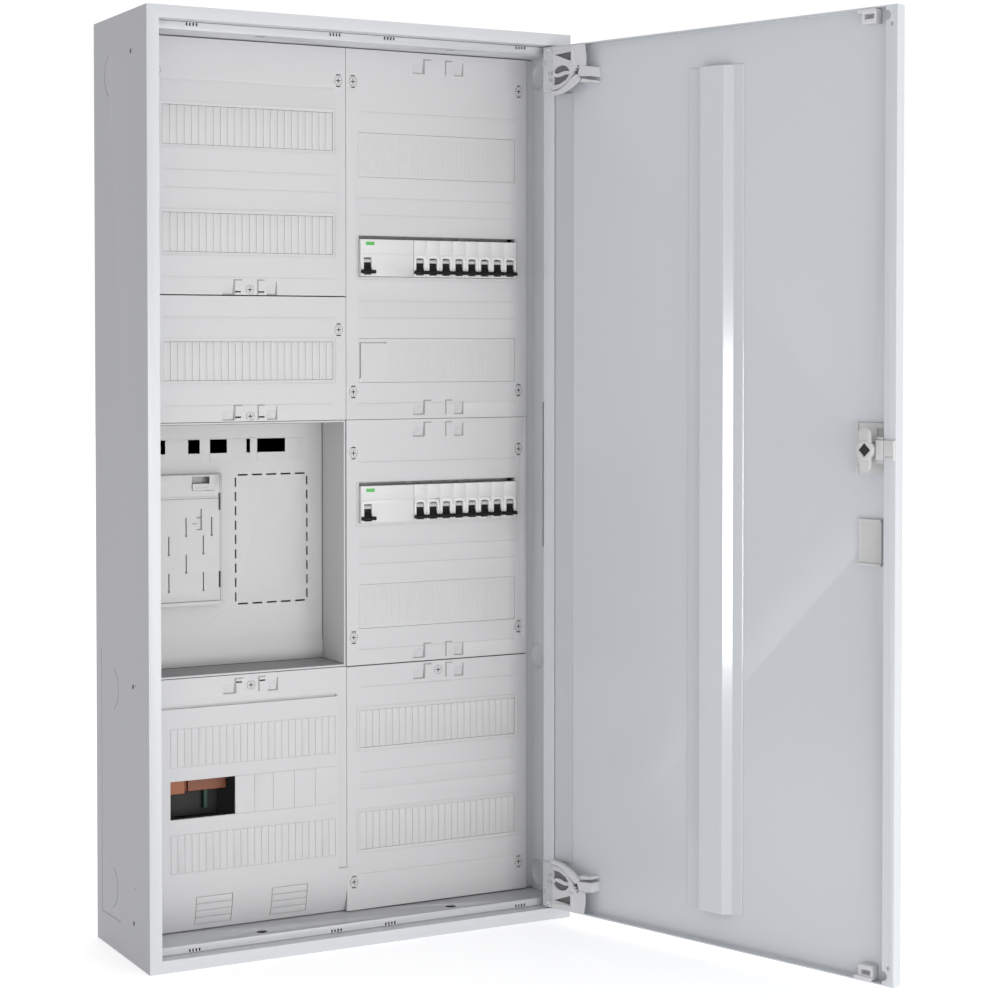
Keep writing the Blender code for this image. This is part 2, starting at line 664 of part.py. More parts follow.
def build_devices():
    seat = -59.3
    shoulder = -103.5
    nose = -NOSE_FACE
    start = CENTRE_RIGHT - WINDOW_WIDE / 2
    for row, z in ((1, ROW_1), (2, ROW_2)):
        # Four-module residual-current switch
        x0 = start + GAP
        x1 = start + 4 * MODULE - GAP
        pivot_z = z - TOGGLE_DROP
        plan = (("rcd", x0, x1, 1), ("mcb_row", x1 + 2 * GAP, start + WINDOW_WIDE - GAP, 8))
        for name, low, high, count in plan:
            ops = [
                (True, (low, high, shoulder, -52.8, z - 42.5, z + 42.5)),
                (True, (low, high, nose, shoulder, z - 22.5, z + 22.5)),
                (False, (low - 1.0, high + 1.0, seat, -50.0, z - 18.0, z + 18.0)),
                (False, (low - 1.0, high + 1.0, nose - 1.0, nose + 0.3, z + 5.0, z + 5.5)),
            ]
            if count == 1:
                slots = (RCD_TOGGLE_X,)
            else:
                slots = tuple(low + 8.4 + MODULE * step for step in range(count))
                for step in range(1, count):
                    x = start + 4 * MODULE + MODULE * step
                    score = (x - 0.2, x + 0.2)
                    ops.append((False, score + (nose - 1.0, nose + 0.3, z - 30.0, z + 30.0)))
                    ops.append((False, score + (shoulder - 1.0, shoulder + 8.0, z - 43.0, z + 43.0)))
            for x in slots:
                pocket = (x - 5.1, x + 5.1, nose - 1.0, nose + 14.0)
                ops.append((False, pocket + (pivot_z - 12.5, pivot_z + 8.5)))
            title = f"rcd_{row}" if count == 1 else f"mcb_row_{row}"
            finish(title, ordered_blocks(ops), DEVICE_GREY)
            for number, x in enumerate(slots, 1):
                label = f"rcd_{row}_toggle" if count == 1 else f"mcb_{row}_{number}_toggle"
                build_toggle(label, x, pivot_z, RCD_GRIP if count == 1 else MCB_GRIP)


def build_toggle(name, x, z, half_grip):
    """Round barrel, narrow stem and a wide grip, hanging down in the off position."""
    down = math.radians(TOGGLE_DOWN)
    out = (-math.cos(down), -math.sin(down))
    side = (-math.sin(down), math.cos(down))

    def at(reach, across):
        y = TOGGLE_Y + out[0] * reach + side[0] * across
        return (y, z + out[1] * reach + side[1] * across)

    barrel = prism_mesh(arc((TOGGLE_Y, z), 5.0, 0.0, 337.5, 15), 0, x - 4.7, x + 4.7)
    outline = [at(2.0, -3.0), at(12.5, -1.6), at(12.5, 1.6), at(2.0, 3.0)]
    stem = prism_mesh(outline, 0, x - 4.4, x + 4.4)
    outline = [at(11.3, -1.9), at(13.8, -1.9), at(14.8, -0.9)]
    outline += [at(14.8, 0.9), at(13.8, 1.9), at(11.3, 1.9)]
    grip = prism_mesh(outline, 0, x - half_grip, x + half_grip)
    lever = joined(barrel, [stem, grip], "UNION")
    finish(name, lever, TOGGLE_BLACK, origin=(x, TOGGLE_Y, z), smooth=True)


def build_terminal():
    ops = [
        (True, (-225.0, -148.0, -72.0, -1.8, 152.0, 213.0)),
        (True, (-225.0, -148.0, -100.0, -72.0, 194.0, 213.0)),
        (True, (-170.0, -160.0, -88.0, -72.0, 158.0, 194.0)),
    ]
    for x in (-212.0, -196.0, -180.0):
        ops.append((False, (x - 3.0, x + 3.0, -101.0, -94.0, 199.0, 208.0)))
    finish("terminal_block", ordered_blocks(ops), TERMINAL)


def door_finish(name, bm, mat, origin=(0.0, 0.0, HEIGHT / 2), smooth=False):
    return finish(name, bm, mat, door_map, origin, smooth)


def build_door():
    z0, z1 = LEAF_LOW, LEAF_HIGH
    u0, u1 = -PIVOT_IN, LEAF_FREE
    skin = LEAF_SKIN
    lip = LEAF_LIP
    ops = [
        (True, (u0, u1, LEAF_FRONT, LEAF_BACK, z0, z1)),
        (False, (u0 + skin, u1 - skin, LEAF_FRONT + skin, LEAF_BACK - skin, z0 + skin, z1 - skin)),
        (False, (u0 + lip + 2.0, u1 - lip, LEAF_BACK - skin, LEAF_BACK + 1.0, z0 + skin, z1 - skin)),
    ]
    bm = ordered_blocks(ops)
    # Rounded notch and small hole at each end of the lip along the free edge
    holes = []
    lip_depth = (LEAF_BACK - skin - 1.0, LEAF_BACK + 1.0)
    for z, inward in ((z0, 1.0), (z1, -1.0)):
        holes.append(round_mesh((u1 - lip + 1.0, z + inward * 11.0), 1, 5.5, *lip_depth))
        holes.append(round_mesh((u1 - 7.0, z + inward * 20.5), 1, 2.2, *lip_depth, 16))
    # Round openings in the skin for the latch and for a mirrored latch, and holes for the pins
    for z in (LATCH_Z, HEIGHT - LATCH_Z):
        holes.append(round_mesh((LATCH_U, z), 1, 9.0, LEAF_FRONT - 2.0, LEAF_FRONT + 4.0, 24))
    for low, high in ((z0 - 2.0, z0 + 4.0), (z1 - 4.0, z1 + 2.0)):
        holes.append(round_mesh((0.0, 0.0), 2, PIN_RADIUS + GAP, low, high, 24))
    bm = joined(bm, holes, "DIFFERENCE")
    door_finish("door_leaf", bm, DOOR_GREY)
    # Hat-section stiffener down the middle of the leaf
    base = LEAF_FRONT + skin + GAP
    middle = (u0 + u1) / 2 + STIFFENER_SHIFT
    crown = base + 9.5
    outline = [(middle - 40.8, base), (middle - 40.8, base + 1.2), (middle - 26.0, base + 1.2)]
    outline += [(middle - 16.9, crown), (middle + 16.9, crown), (middle + 26.0, base + 1.2)]
    outline += [(middle + 40.8, base + 1.2), (middle + 40.8, base), (middle + 25.4, base)]
    outline += [(middle + 16.3, crown - 1.2), (middle - 16.3, crown - 1.2), (middle - 25.4, base)]
    door_finish("door_stiffener", prism_mesh(outline, 2, STIFFENER_LOW, STIFFENER_HIGH), DOOR_GREY)


def build_latch():
    base = LEAF_FRONT + LEAF_SKIN + GAP
    u = LATCH_U
    z = LATCH_Z
    # Housing fixed on the inside of the skin, with two guide walls for the tongue
    ops = [
        (True, (u - 23.5, u + 19.0, base, base + 3.0, z - 27.0, z + 29.0)),
        (True, (u + 11.5, u + 19.0, base, LEAF_BACK + 1.7, z - 14.0, z + 14.0)),
        (False, (u + 10.5, u + 20.0, base + 5.0, LEAF_BACK + 5.0, z - 11.6, z + 11.6)),
        (True, (u + 4.0, u + 15.0, base + 3.0, base + 4.5, z + 23.5, z + 29.0)),
        (True, (u - 23.5, u - 19.5, base + 3.0, base + 4.5, z + 20.0, z + 29.0)),
        (True, (u - 23.5, u - 19.5, base + 3.0, base + 4.5, z - 27.0, z - 18.0)),
        (False, (u + 4.0, u + 14.0, base + 1.0, base + 4.0, z + 15.0, z + 22.5)),
    ]
    body = ordered_blocks(ops)
    hole = round_mesh((u, z), 1, 8.0, base - 2.0, base + 6.0, 24)
    door_finish("latch_housing", joined(body, [hole], "DIFFERENCE"), LATCH_GREY)
    # Lever above the tongue: a round boss with two rounded arms and a square bore
    low = base + 3.0 + GAP
    top = LEAF_BACK + 8.6
    bar = [(u + a, z + 17.1 + b) for a, b in arc((0.0, 0.0), 7.1, 0.0, 180.0, 8)]
    bar += [(u + a, z - 17.1 + b) for a, b in arc((0.0, 0.0), 7.1, 180.0, 360.0, 8)]
    arms = prism_mesh(bar, 1, top - 3.6, top)
    boss = round_mesh((u, z), 1, 10.5, low, top + 1.2, 24)
    reach = 7.9
    square = [(u + reach, z), (u, z + reach), (u - reach, z), (u, z - reach)]
    bore = prism_mesh(square, 1, low - 5.0, top + 6.0)
    lever = joined(arms, [boss], "UNION")
    lever = joined(lever, [bore], "DIFFERENCE")
    door_finish("latch_lever", lever, LATCH_GREY, origin=(u, low, z), smooth=True)
    # Square spindle with a flush round head on the outside of the door
    reach = 7.5
    square = [(u + reach, z), (u, z + reach), (u - reach, z), (u, z - reach)]
    spindle = prism_mesh(square, 1, LEAF_FRONT, top - 1.0)
    head = round_mesh((u, z), 1, 8.5, LEAF_FRONT - 3.0, LEAF_FRONT + 1.2, 24)
    spindle = joined(spindle, [head], "UNION")
    slot = block_mesh([(u - 6.0, u + 6.0, LEAF_FRONT - 6.0, LEAF_FRONT - 1.5, z - 1.2, z + 1.2)])
    spindle = joined(spindle, [slot], "DIFFERENCE")
    door_finish("latch_spindle", spindle, SPINDLE_BLACK, origin=(u, low, z))
    # Tongue sliding over the lip of the free edge
    face = LEAF_BACK + GAP
    ops = [
        (True, (u + 11.5, u + 34.5, face, face + 4.0, z - 11.0, z + 11.0)),
        (True, (u + 12.5, u + 20.0, face + 4.0, face + 4.5, z - 11.0, z + 11.0)),
        (False, (u + 22.2, u + 33.5, face + 3.0, face + 6.0, z - 7.0, z - 6.2)),
        (False, (u + 21.4, u + 22.2, face + 3.0, face + 6.0, z - 11.0, z + 11.0)),
    ]
    door_finish("latch_tongue", ordered_blocks(ops), LATCH_GREY, origin=(u + 25.0, face, z))
    # Blank over the opening kept for the mirrored latch
    mirrored = HEIGHT - LATCH_Z
    ops = [
        (True, (u - 19.5, u + 10.0, base, base + 2.2, mirrored - 24.0, mirrored + 25.5)),
        (True, (u - 20.5, u + 10.0, base, base + 4.2, mirrored + 24.2, mirrored + 27.0)),
        (True, (u - 20.5, u + 10.0, base, base + 4.2, mirrored - 24.5, mirrored - 21.7)),
        (True, (u - 19.5, u - 16.5, base, base + 3.0, mirrored - 24.0, mirrored + 25.5)),
    ]
    door_finish("latch_blank", ordered_blocks(ops), LATCH_GREY)


def build_door_corners():
    face = LEAF_BACK + GAP
    middle = HEIGHT / 2
    for name, flip in (("hinge_arm_top", 1.0), ("hinge_arm_bottom", -1.0)):
        # Quarter-sector arm laid over the lips, with a triangular window and a bowl
        def at(u, z):
            return (u, middle + flip * (z - middle))

        top = LEAF_HIGH - 1.5
        through = (face - 2.0, face + 6.0)
        outer = [at(10.5, top), at(62.0, top), at(64.0, 1063.5), at(71.0, 1062.5)]
        outer += [at(71.0, 1046.0), at(61.0, 1044.5), at(52.0, 1036.0)]
        outer += [at(41.0, 1029.0), at(26.0, 1024.0), at(10.5, 1022.5)]
        plate = prism_mesh(outer, 1, face, face + 4.0)
        window = prism_mesh([at(22.0, 1072.5), at(44.0, 1076.0), at(44.0, 1064.0)], 1, *through)
        bowl = [at(14.0, 1051.0), at(22.0, 1059.0), at(31.0, 1060.5), at(38.0, 1055.0), at(39.5, 1048.5)]
        bowl += [at(33.0, 1038.0), at(24.0, 1032.5), at(14.0, 1031.0)]
        well = prism_mesh(bowl, 1, *through)
        strut = [at(12.0, 1048.5), at(43.0, 1051.0), at(43.0, 1047.0), at(12.0, 1044.5)]
        bar = prism_mesh(strut, 1, face, face + 2.0)
        tabs = []
        for step in range(3):
            u = 45.5 + 3.2 * step
            z = 1053.0 + 3.2 * step
            slot = [at(u, z), at(u + 2.2, z), at(u + 2.2, z + 1.8), at(u, z + 1.8)]
            tabs.append(prism_mesh(slot, 1, *through))
        body = joined(plate, [window, well] + tabs, "DIFFERENCE")
        pad = [at(54.0, 1047.0), at(70.0, 1047.0), at(70.0, 1061.0), at(54.0, 1061.0)]
        foot = prism_mesh(pad, 1, LEAF_FRONT + LEAF_SKIN + GAP, face + 1.0)
        body = joined(body, [bar, foot], "UNION")
        door_finish(name, body, LATCH_GREY)
    # Small stepped clips against the upper and lower returns near the free edge
    skin = LEAF_FRONT + LEAF_SKIN + GAP
    reach = LEAF_SKIN + GAP
    for name, z0, z1 in (
        ("corner_clip_top", LEAF_HIGH - 18.0, LEAF_HIGH - reach),
        ("corner_clip_bottom", LEAF_LOW + reach, LEAF_LOW + 18.0),
    ):
        step = (z1 - 4.0, z1) if z1 > HEIGHT / 2 else (z0, z0 + 4.0)
        ops = [
            (True, (463.5, 482.0, skin, LEAF_BACK - 1.0, z0, z1)),
            (True, (459.0, 482.0, skin, LEAF_BACK + 1.5) + step),
            (False, (466.5, 479.0, skin + 3.0, LEAF_BACK, z0 + 5.5, z1 - 5.5)),
        ]
        door_finish(name, ordered_blocks(ops), LATCH_GREY)


build_enclosure()
build_front_frame()
build_inner_frame()
build_rails()
build_covers()
build_lower_cover()
build_strips()
build_meter_tray()
build_devices()
build_terminal()
build_door()
build_latch()
build_door_corners()
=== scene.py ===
"""Looks for the wall-mounted meter and distribution cabinet. Lengths in the code are millimetres."""
import json
import math

import bmesh
import bpy
import numpy as np
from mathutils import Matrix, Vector


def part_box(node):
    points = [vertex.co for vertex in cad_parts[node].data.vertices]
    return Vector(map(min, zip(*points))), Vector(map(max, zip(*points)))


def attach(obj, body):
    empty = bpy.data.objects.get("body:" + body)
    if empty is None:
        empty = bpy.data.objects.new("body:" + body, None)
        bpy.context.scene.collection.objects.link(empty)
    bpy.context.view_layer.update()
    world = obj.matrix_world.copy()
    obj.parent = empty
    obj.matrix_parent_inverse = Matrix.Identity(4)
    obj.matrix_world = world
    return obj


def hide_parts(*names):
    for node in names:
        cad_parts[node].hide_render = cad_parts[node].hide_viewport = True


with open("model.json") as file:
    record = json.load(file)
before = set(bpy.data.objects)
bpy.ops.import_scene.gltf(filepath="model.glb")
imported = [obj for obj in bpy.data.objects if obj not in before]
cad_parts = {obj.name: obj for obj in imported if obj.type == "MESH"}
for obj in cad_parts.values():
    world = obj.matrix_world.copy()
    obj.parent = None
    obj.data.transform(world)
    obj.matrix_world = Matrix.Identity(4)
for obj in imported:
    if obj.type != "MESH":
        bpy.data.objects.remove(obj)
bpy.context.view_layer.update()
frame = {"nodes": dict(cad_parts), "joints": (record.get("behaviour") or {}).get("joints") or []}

scene = bpy.context.scene
MM = 0.001

# ---------------------------------------------------------------- places taken from the frame

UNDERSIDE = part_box("side_left")[0].z
HINGE = {joint["name"]: joint for joint in frame["joints"]}["door_hinge"]
PIVOT = Vector(HINGE["pos_m"])
TURN = math.radians(-HINGE["range_deg"][0])


def box_mm(node):
    """A node's box as x0, x1, y0, y1, z0, z1, with heights counted from the underside."""
    low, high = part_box(node)
    ends = []
    for axis, base in ((0, 0.0), (1, 0.0), (2, UNDERSIDE)):
        ends += [(low[axis] - base) / MM, (high[axis] - base) / MM]
    return ends


def cabinet(point):
    return (point[0] * MM, point[1] * MM, point[2] * MM + UNDERSIDE)


def door(point):
    """Door coordinates: u from the pivot to the free edge, v towards the cabinet when shut, z up."""
    u, v, z = point
    x = PIVOT.x - (u * math.cos(TURN) + v * math.sin(TURN)) * MM
    y = PIVOT.y - (u * math.sin(TURN) - v * math.cos(TURN)) * MM
    return (x, y, z * MM + UNDERSIDE)


SIDE = box_mm("side_left")
HEIGHT = SIDE[5] - SIDE[4]
# The beads around the windows stand this far in front of the covers
BEAD = 0.6
COVER_FACE = box_mm("cover_right_upper")[2] + BEAD
# A strip has half of this clearance at each end of its window
STRIP_PLAY = 0.6
WINDOW = box_mm("strip_right_1")
WINDOW_WIDE = WINDOW[1] - WINDOW[0] + STRIP_PLAY
ROWS = [(box_mm(f"rcd_{row}")[4] + box_mm(f"rcd_{row}")[5]) / 2 for row in (1, 2)]
NOSE = box_mm("mcb_row_1")[2]
TRAY = box_mm("meter_tray")
ADAPTER = box_mm("meter_adapter")
LEAF_LOW, LEAF_HIGH = box_mm("door_leaf")[4:]
# The leaf in door coordinates: back of its edge fold, and inside of its sheet
LEAF_BACK = 9.0
LEAF_INSIDE = -3.5
# The stiffener's two edges across the leaf, and its ends
STIFFENER = (214.1, 295.7)
STIFFENER_LOW = 54.0
STIFFENER_HIGH = 1039.0
# How far the front border reaches inwards, and the seats in the returns behind it
FRAME_BORDER = 14.5
SEAT_HEIGHTS = (47.0, 322.0, 1053.0)
SEAT_Y = -134.0
# Ends of the adapter's slots, as x and z
SLOT_ENDS = (
    (-207.8, 465.6), (-207.8, 421.6), (-186.0, 487.6), (-186.0, 443.6),
    (-164.3, 465.6), (-164.3, 421.6), (-153.5, 487.6),
)

# ---------------------------------------------------------------- materials


def node(tree, kind, **settings):
    made = tree.nodes.new(kind)
    for key, value in settings.items():
        if isinstance(value, (int, float, str, bool)):
            setattr(made, key, value)
    return made


COAT_ROUGHNESS = 0.12
RELIEF_DEPTH = 0.12
WEAR_RADIUS = 1.1
# How far the rounded normal leaves the true one where wear starts, and where it is full
WEAR_START = 0.995
WEAR_FULL = 0.75


def noise(tree, vector, scale, detail):
    made = node(tree, "ShaderNodeTexNoise")
    made.inputs["Scale"].default_value = scale
    made.inputs["Detail"].default_value = detail
    tree.links.new(vector, made.inputs["Vector"])
    return made


def spread(tree, texture, low, high):
    """A noise's values, turned into low to high."""
    made = node(tree, "ShaderNodeMapRange")
    made.inputs["To Min"].default_value = low
    made.inputs["To Max"].default_value = high
    tree.links.new(texture.outputs["Fac"], made.inputs["Value"])
    return made.outputs["Result"]


def surface(name, colour, rough, grain=1800.0, bump=0.25, mottle=0.03, wear=0.05, metallic=0.0,
            coat=0.0, stretch=(1.0, 1.0, 1.0), patch=9.0, smudge=0.05, shine=0.5):
    """A finish with fine grain, uneven colour and gloss, and edges that are a little worn."""
    made = bpy.data.materials.new(name)
    made.use_nodes = True
    tree = made.node_tree
    link = tree.links.new
    shader = tree.nodes["Principled BSDF"]
    shader.inputs["Metallic"].default_value = metallic
    shader.inputs["Coat Weight"].default_value = coat
    shader.inputs["Coat Roughness"].default_value = COAT_ROUGHNESS
    shader.inputs["Specular IOR Level"].default_value = shine
    place = node(tree, "ShaderNodeTexCoord")
    mapping = node(tree, "ShaderNodeMapping")
    mapping.inputs["Scale"].default_value = stretch
    link(place.outputs["Object"], mapping.inputs["Vector"])
    fine = noise(tree, mapping.outputs["Vector"], grain, 3.0)
    fine.inputs["Roughness"].default_value = 0.6
    broad = noise(tree, place.outputs["Object"], patch, 5.0)
    # Colour: a broad unevenness and a slightly weaker fine one
    speckle = mottle * 0.8
    both = node(tree, "ShaderNodeMath", operation="MULTIPLY")
    link(spread(tree, broad, 1.0 - mottle, 1.0 + mottle), both.inputs[0])
    link(spread(tree, fine, 1.0 - speckle, 1.0 + speckle), both.inputs[1])
    tint = node(tree, "ShaderNodeMix", data_type="RGBA", blend_type="MULTIPLY")
    tint.inputs["Factor"].default_value = 1.0
    tint.inputs["A"].default_value = (*colour, 1.0)
    link(both.outputs["Value"], tint.inputs["B"])
    # Worn edges, where the rounded normal leaves the true one
    soft = node(tree, "ShaderNodeBevel")
    soft.samples = 4
    soft.inputs["Radius"].default_value = WEAR_RADIUS * MM
    true = node(tree, "ShaderNodeNewGeometry")
    turn = node(tree, "ShaderNodeVectorMath", operation="DOT_PRODUCT")
    link(soft.outputs["Normal"], turn.inputs[0])
    link(true.outputs["Normal"], turn.inputs[1])
    edge = node(tree, "ShaderNodeMapRange")
    edge.inputs["From Min"].default_value = WEAR_START
    edge.inputs["From Max"].default_value = WEAR_FULL
    edge.inputs["To Max"].default_value = wear
    link(turn.outputs["Value"], edge.inputs["Value"])
    worn = node(tree, "ShaderNodeMix", data_type="RGBA")
    light = [min(1.0, part * 1.25 + 0.06) for part in colour]
    worn.inputs["B"].default_value = (*light, 1.0)
    link(edge.outputs["Result"], worn.inputs["Factor"])
    link(tint.outputs["Result"], worn.inputs["A"])
    link(worn.outputs["Result"], shader.inputs["Base Color"])
    # Gloss and relief
    gloss = spread(tree, broad, max(0.05, rough - smudge), min(1.0, rough + smudge))
    link(gloss, shader.inputs["Roughness"])
    relief = node(tree, "ShaderNodeBump")
    relief.inputs["Strength"].default_value = bump
    relief.inputs["Distance"].default_value = RELIEF_DEPTH * MM
    link(fine.outputs["Fac"], relief.inputs["Height"])
    link(relief.outputs["Normal"], shader.inputs["Normal"])
    return made


# Settings that several finishes share: powder coat, moulded plastic, and parts deep in shade
SATIN = dict(grain=700.0, bump=0.15, mottle=0.02)
GLOSSY = dict(grain=520.0, bump=0.05, mottle=0.012)
RAIL = dict(grain=600.0, bump=0.1, mottle=0.015)
MOULDED = dict(grain=2600.0, bump=0.2, mottle=0.01, wear=0.02)
HARD = dict(grain=2600.0, bump=0.15, mottle=0.012, wear=0.03)
SHADED = dict(grain=2600.0, bump=0.1, wear=0.0)

PAINT_FRONT = surface("paint_front", (0.60, 0.614, 0.635), 0.42, grain=700.0, bump=0.12, mottle=0.012)
# A darker copy of the front paint for the sides, top and bottom: painted shade, as these face away from the
# light
PAINT_SIDE_SHADED = surface("paint_side_shaded", (0.375, 0.378, 0.40), 0.5, **SATIN)
PAINT_REAR = surface("paint_rear", (0.50, 0.51, 0.52), 0.5, **SATIN)
PAINT_DOOR = surface("paint_door", (0.60, 0.622, 0.655), 0.2, coat=0.6, smudge=0.06, patch=3.0, **GLOSSY)
# A darker copy of the door paint: painted shade for the strip beside the hinge edge
PAINT_FOLD_SHADED = surface("paint_fold_shaded", (0.44, 0.457, 0.48), 0.3, coat=0.3, **GLOSSY)
PAINT_RAIL = surface("paint_rail", (0.58, 0.585, 0.60), 0.35, **RAIL)
SEAT = surface("seat_paint", (0.62, 0.625, 0.64), 0.35, **RAIL)
ZINC = surface(
    "zinc_plated", (0.68, 0.70, 0.71), 0.35, grain=260.0, bump=0.06, mottle=0.06, metallic=0.45,
    stretch=(1.0, 1.0, 0.2), patch=60.0,
)
COVER = surface("cover_moulding", (0.575, 0.575, 0.58), 0.52, **MOULDED)
STRIP = surface("strip_moulding", (0.575, 0.575, 0.578), 0.5, grain=2600.0, bump=0.18, mottle=0.01, wear=0.02)
TRAY_PLASTIC = surface("tray_moulding", (0.56, 0.56, 0.563), 0.52, **MOULDED)
DEVICE = surface(
    "device_moulding", (0.655, 0.655, 0.657), 0.42, grain=3200.0, bump=0.1, mottle=0.008, wear=0.01,
)
COLLAR = surface("collar_moulding", (0.80, 0.80, 0.80), 0.35, grain=3200.0, bump=0.08, mottle=0.01, wear=0.01)
TOGGLE = surface(
    "toggle_moulding", (0.009, 0.009, 0.01), 0.6, grain=3000.0, bump=0.15, mottle=0.1, wear=0.02, shine=0.15,
)
LATCH = surface("latch_moulding", (0.58, 0.58, 0.585), 0.42, **HARD)
HINGE_WHITE = surface("hinge_moulding", (0.64, 0.64, 0.65), 0.4, **HARD)
DARK = surface("dark_steel", (0.02, 0.02, 0.022), 0.45, grain=900.0, bump=0.2, mottle=0.15, metallic=0.3)
# Mid grey painted into the hook strokes as their shade
HOOK_SHADE = surface("hook_painted_shade", (0.33, 0.33, 0.335), 0.6, mottle=0.03, **SHADED)
# Mid grey painted over the recess floor as its shade
FLOOR_SHADE = surface("recess_floor_painted_shade", (0.30, 0.30, 0.305), 0.6, mottle=0.03, **SHADED)
# Dark grey painted into gaps, openings and grooves as their shade
GAP_SHADE = surface("gap_painted_shade", (0.16, 0.16, 0.165), 0.6, mottle=0.06, **SHADED)
SHADOW = surface("slot_shadow", (0.035, 0.035, 0.038), 0.6, mottle=0.1, **SHADED)
INTERIOR = surface("interior_shadow", (0.016, 0.013, 0.012), 0.6, grain=900.0, bump=0.1, mottle=0.2)
ORANGE = surface("terminal_orange", (0.22, 0.045, 0.004), 0.42, grain=1600.0, bump=0.15, mottle=0.08)
COPPER = surface(
    "terminal_copper", (0.22, 0.075, 0.03), 0.35, grain=500.0, bump=0.1, mottle=0.08, metallic=0.4,
)
GREEN_DARK = surface("terminal_green", (0.010, 0.075, 0.045), 0.4, grain=1600.0, bump=0.15, mottle=0.1)
GREEN = surface("label_green", (0.055, 0.42, 0.055), 0.35, grain=3000.0, bump=0.05, mottle=0.04)

# ---------------------------------------------------------------- mesh helpers, all in millimetres


# Points closer than this are one point, and faces within this angle (in radians) are one face
SAME_POINT = 0.0005
SAME_PLANE = 0.001


def cleaned(bm):
    bmesh.ops.remove_doubles(bm, verts=bm.verts, dist=SAME_POINT)
    bmesh.ops.dissolve_limit(bm, angle_limit=SAME_PLANE, verts=bm.verts, edges=bm.edges)
    return bm


def grid_mesh(marks, solid):
    """The skin between the solid and the empty cells of a grid."""
    bm = bmesh.new()
    verts = {}
    for axis in range(3):
        first, second = [other for other in range(3) if other != axis]
        change = np.diff(solid.astype(np.int8), axis=axis)
        for place in np.argwhere(change):
            corners = []
            for step_a, step_b in ((0, 0), (1, 0), (1, 1), (0, 1)):
                index = [0, 0, 0]
                index[axis] = int(place[axis])
                index[first] = int(place[first]) - 1 + step_a
                index[second] = int(place[second]) - 1 + step_b
                key = tuple(index)
                if key not in verts:
                    verts[key] = bm.verts.new([marks[side][key[side]] for side in range(3)])
                corners.append(verts[key])
            bm.faces.new(corners)
    bmesh.ops.recalc_face_normals(bm, faces=bm.faces)
    bmesh.ops.dissolve_limit(bm, angle_limit=SAME_PLANE, verts=bm.verts, edges=bm.edges)
    return bm


def blocks(ops):
    """One closed mesh from boxes that are added (True) or cut away (False) in the order listed."""
    marks = []
    for axis in range(3):
        ends = {round(box[2 * axis + side], 4) for _, box in ops for side in (0, 1)}
        marks.append(np.array(sorted(ends)))
    solid = np.zeros([len(axis) + 1 for axis in marks], bool)
    for adding, box in ops:
        span = []
        for axis in range(3):
            low = int(np.searchsorted(marks[axis], round(box[2 * axis], 4)))
            high = int(np.searchsorted(marks[axis], round(box[2 * axis + 1], 4)))
            span.append(slice(low + 1, high + 1))
        solid[tuple(span)] = adding
    return grid_mesh(marks, solid)


def block(*box):
    return blocks([(True, box)])


def prism(points, axis, low, high):
    """Extrude a closed outline along one axis. The outline gives the other two in order."""
    bm = bmesh.new()
    rings = []
    for level in (low, high):
        ring = []
        for pair in points:
            co = list(pair)
            co.insert(axis, level)
            ring.append(bm.verts.new(co))
        rings.append(ring)
    bm.faces.new(rings[0])
    bm.faces.new(list(reversed(rings[1])))
    count = len(points)
    for step in range(count):
        after = (step + 1) % count
        bm.faces.new((rings[0][step], rings[1][step], rings[1][after], rings[0][after]))
    bmesh.ops.recalc_face_normals(bm, faces=bm.faces)
    return bm


def arc(centre, radius, start, end, steps):
    points = []
    for step in range(steps + 1):
        angle = math.radians(start + (end - start) * step / steps)
        points.append((centre[0] + radius * math.cos(angle), centre[1] + radius * math.sin(angle)))
    return points


def disc(centre, axis, radius, low, high, steps=48):
    return prism(arc(centre, radius, 0.0, 360.0 * (steps - 1) / steps, steps - 1), axis, low, high)


def band(centre, inner, outer, start, end, axis, low, high, steps=20):
    """Part of a flat ring."""
    outline = arc(centre, outer, start, end, steps) + arc(centre, inner, end, start, steps)
    return prism(outline, axis, low, high)


def wedge(x0, x1, z0, z1, depths, above=0.6):
    """A pocket behind the cover face whose floor depth is given at its four corners."""
    bm = bmesh.new()
    corners = ((x0, z0), (x1, z0), (x1, z1), (x0, z1))
    front = [bm.verts.new((x, COVER_FACE - above, z)) for x, z in corners]
    rear = [bm.verts.new((x, COVER_FACE + depth, z)) for (x, z), depth in zip(corners, depths)]
    bm.faces.new(front)
    for step in range(4):
        after = (step + 1) % 4
        bm.faces.new((front[step], rear[step], rear[after], front[after]))
    bm.faces.new((rear[0], rear[2], rear[1]))
    bm.faces.new((rear[0], rear[3], rear[2]))
    bmesh.ops.recalc_face_normals(bm, faces=bm.faces)
    return bm


def lathe(profile, centre, side, steps=32):
    """A body turned about an axis along X. The profile gives radius and distance outwards."""
    bm = bmesh.new()
    rings = []
    for radius, out in profile:
        ring = []
        for step in range(steps):
            angle = 2.0 * math.pi * step / steps
            ring.append(bm.verts.new((
                centre[0] + side * out,
                centre[1] + radius * math.cos(angle),
                centre[2] + radius * math.sin(angle),
            )))
        rings.append(ring)
    for first, second in zip(rings, rings[1:]):
        for step in range(steps):
            after = (step + 1) % steps
            bm.faces.new((first[step], first[after], second[after], second[step]))
    bm.faces.new(rings[0])
    bm.faces.new(rings[-1])
    bmesh.ops.recalc_face_normals(bm, faces=bm.faces)
    return bm


def merged(meshes):
    """Several closed meshes in one, for a cutter or for separate parts of one piece."""
    total = bmesh.new()
    for other in meshes:
        store = bpy.data.meshes.new("part")
        other.to_mesh(store)
        other.free()
        total.from_mesh(store)
        bpy.data.meshes.remove(store)
    return total


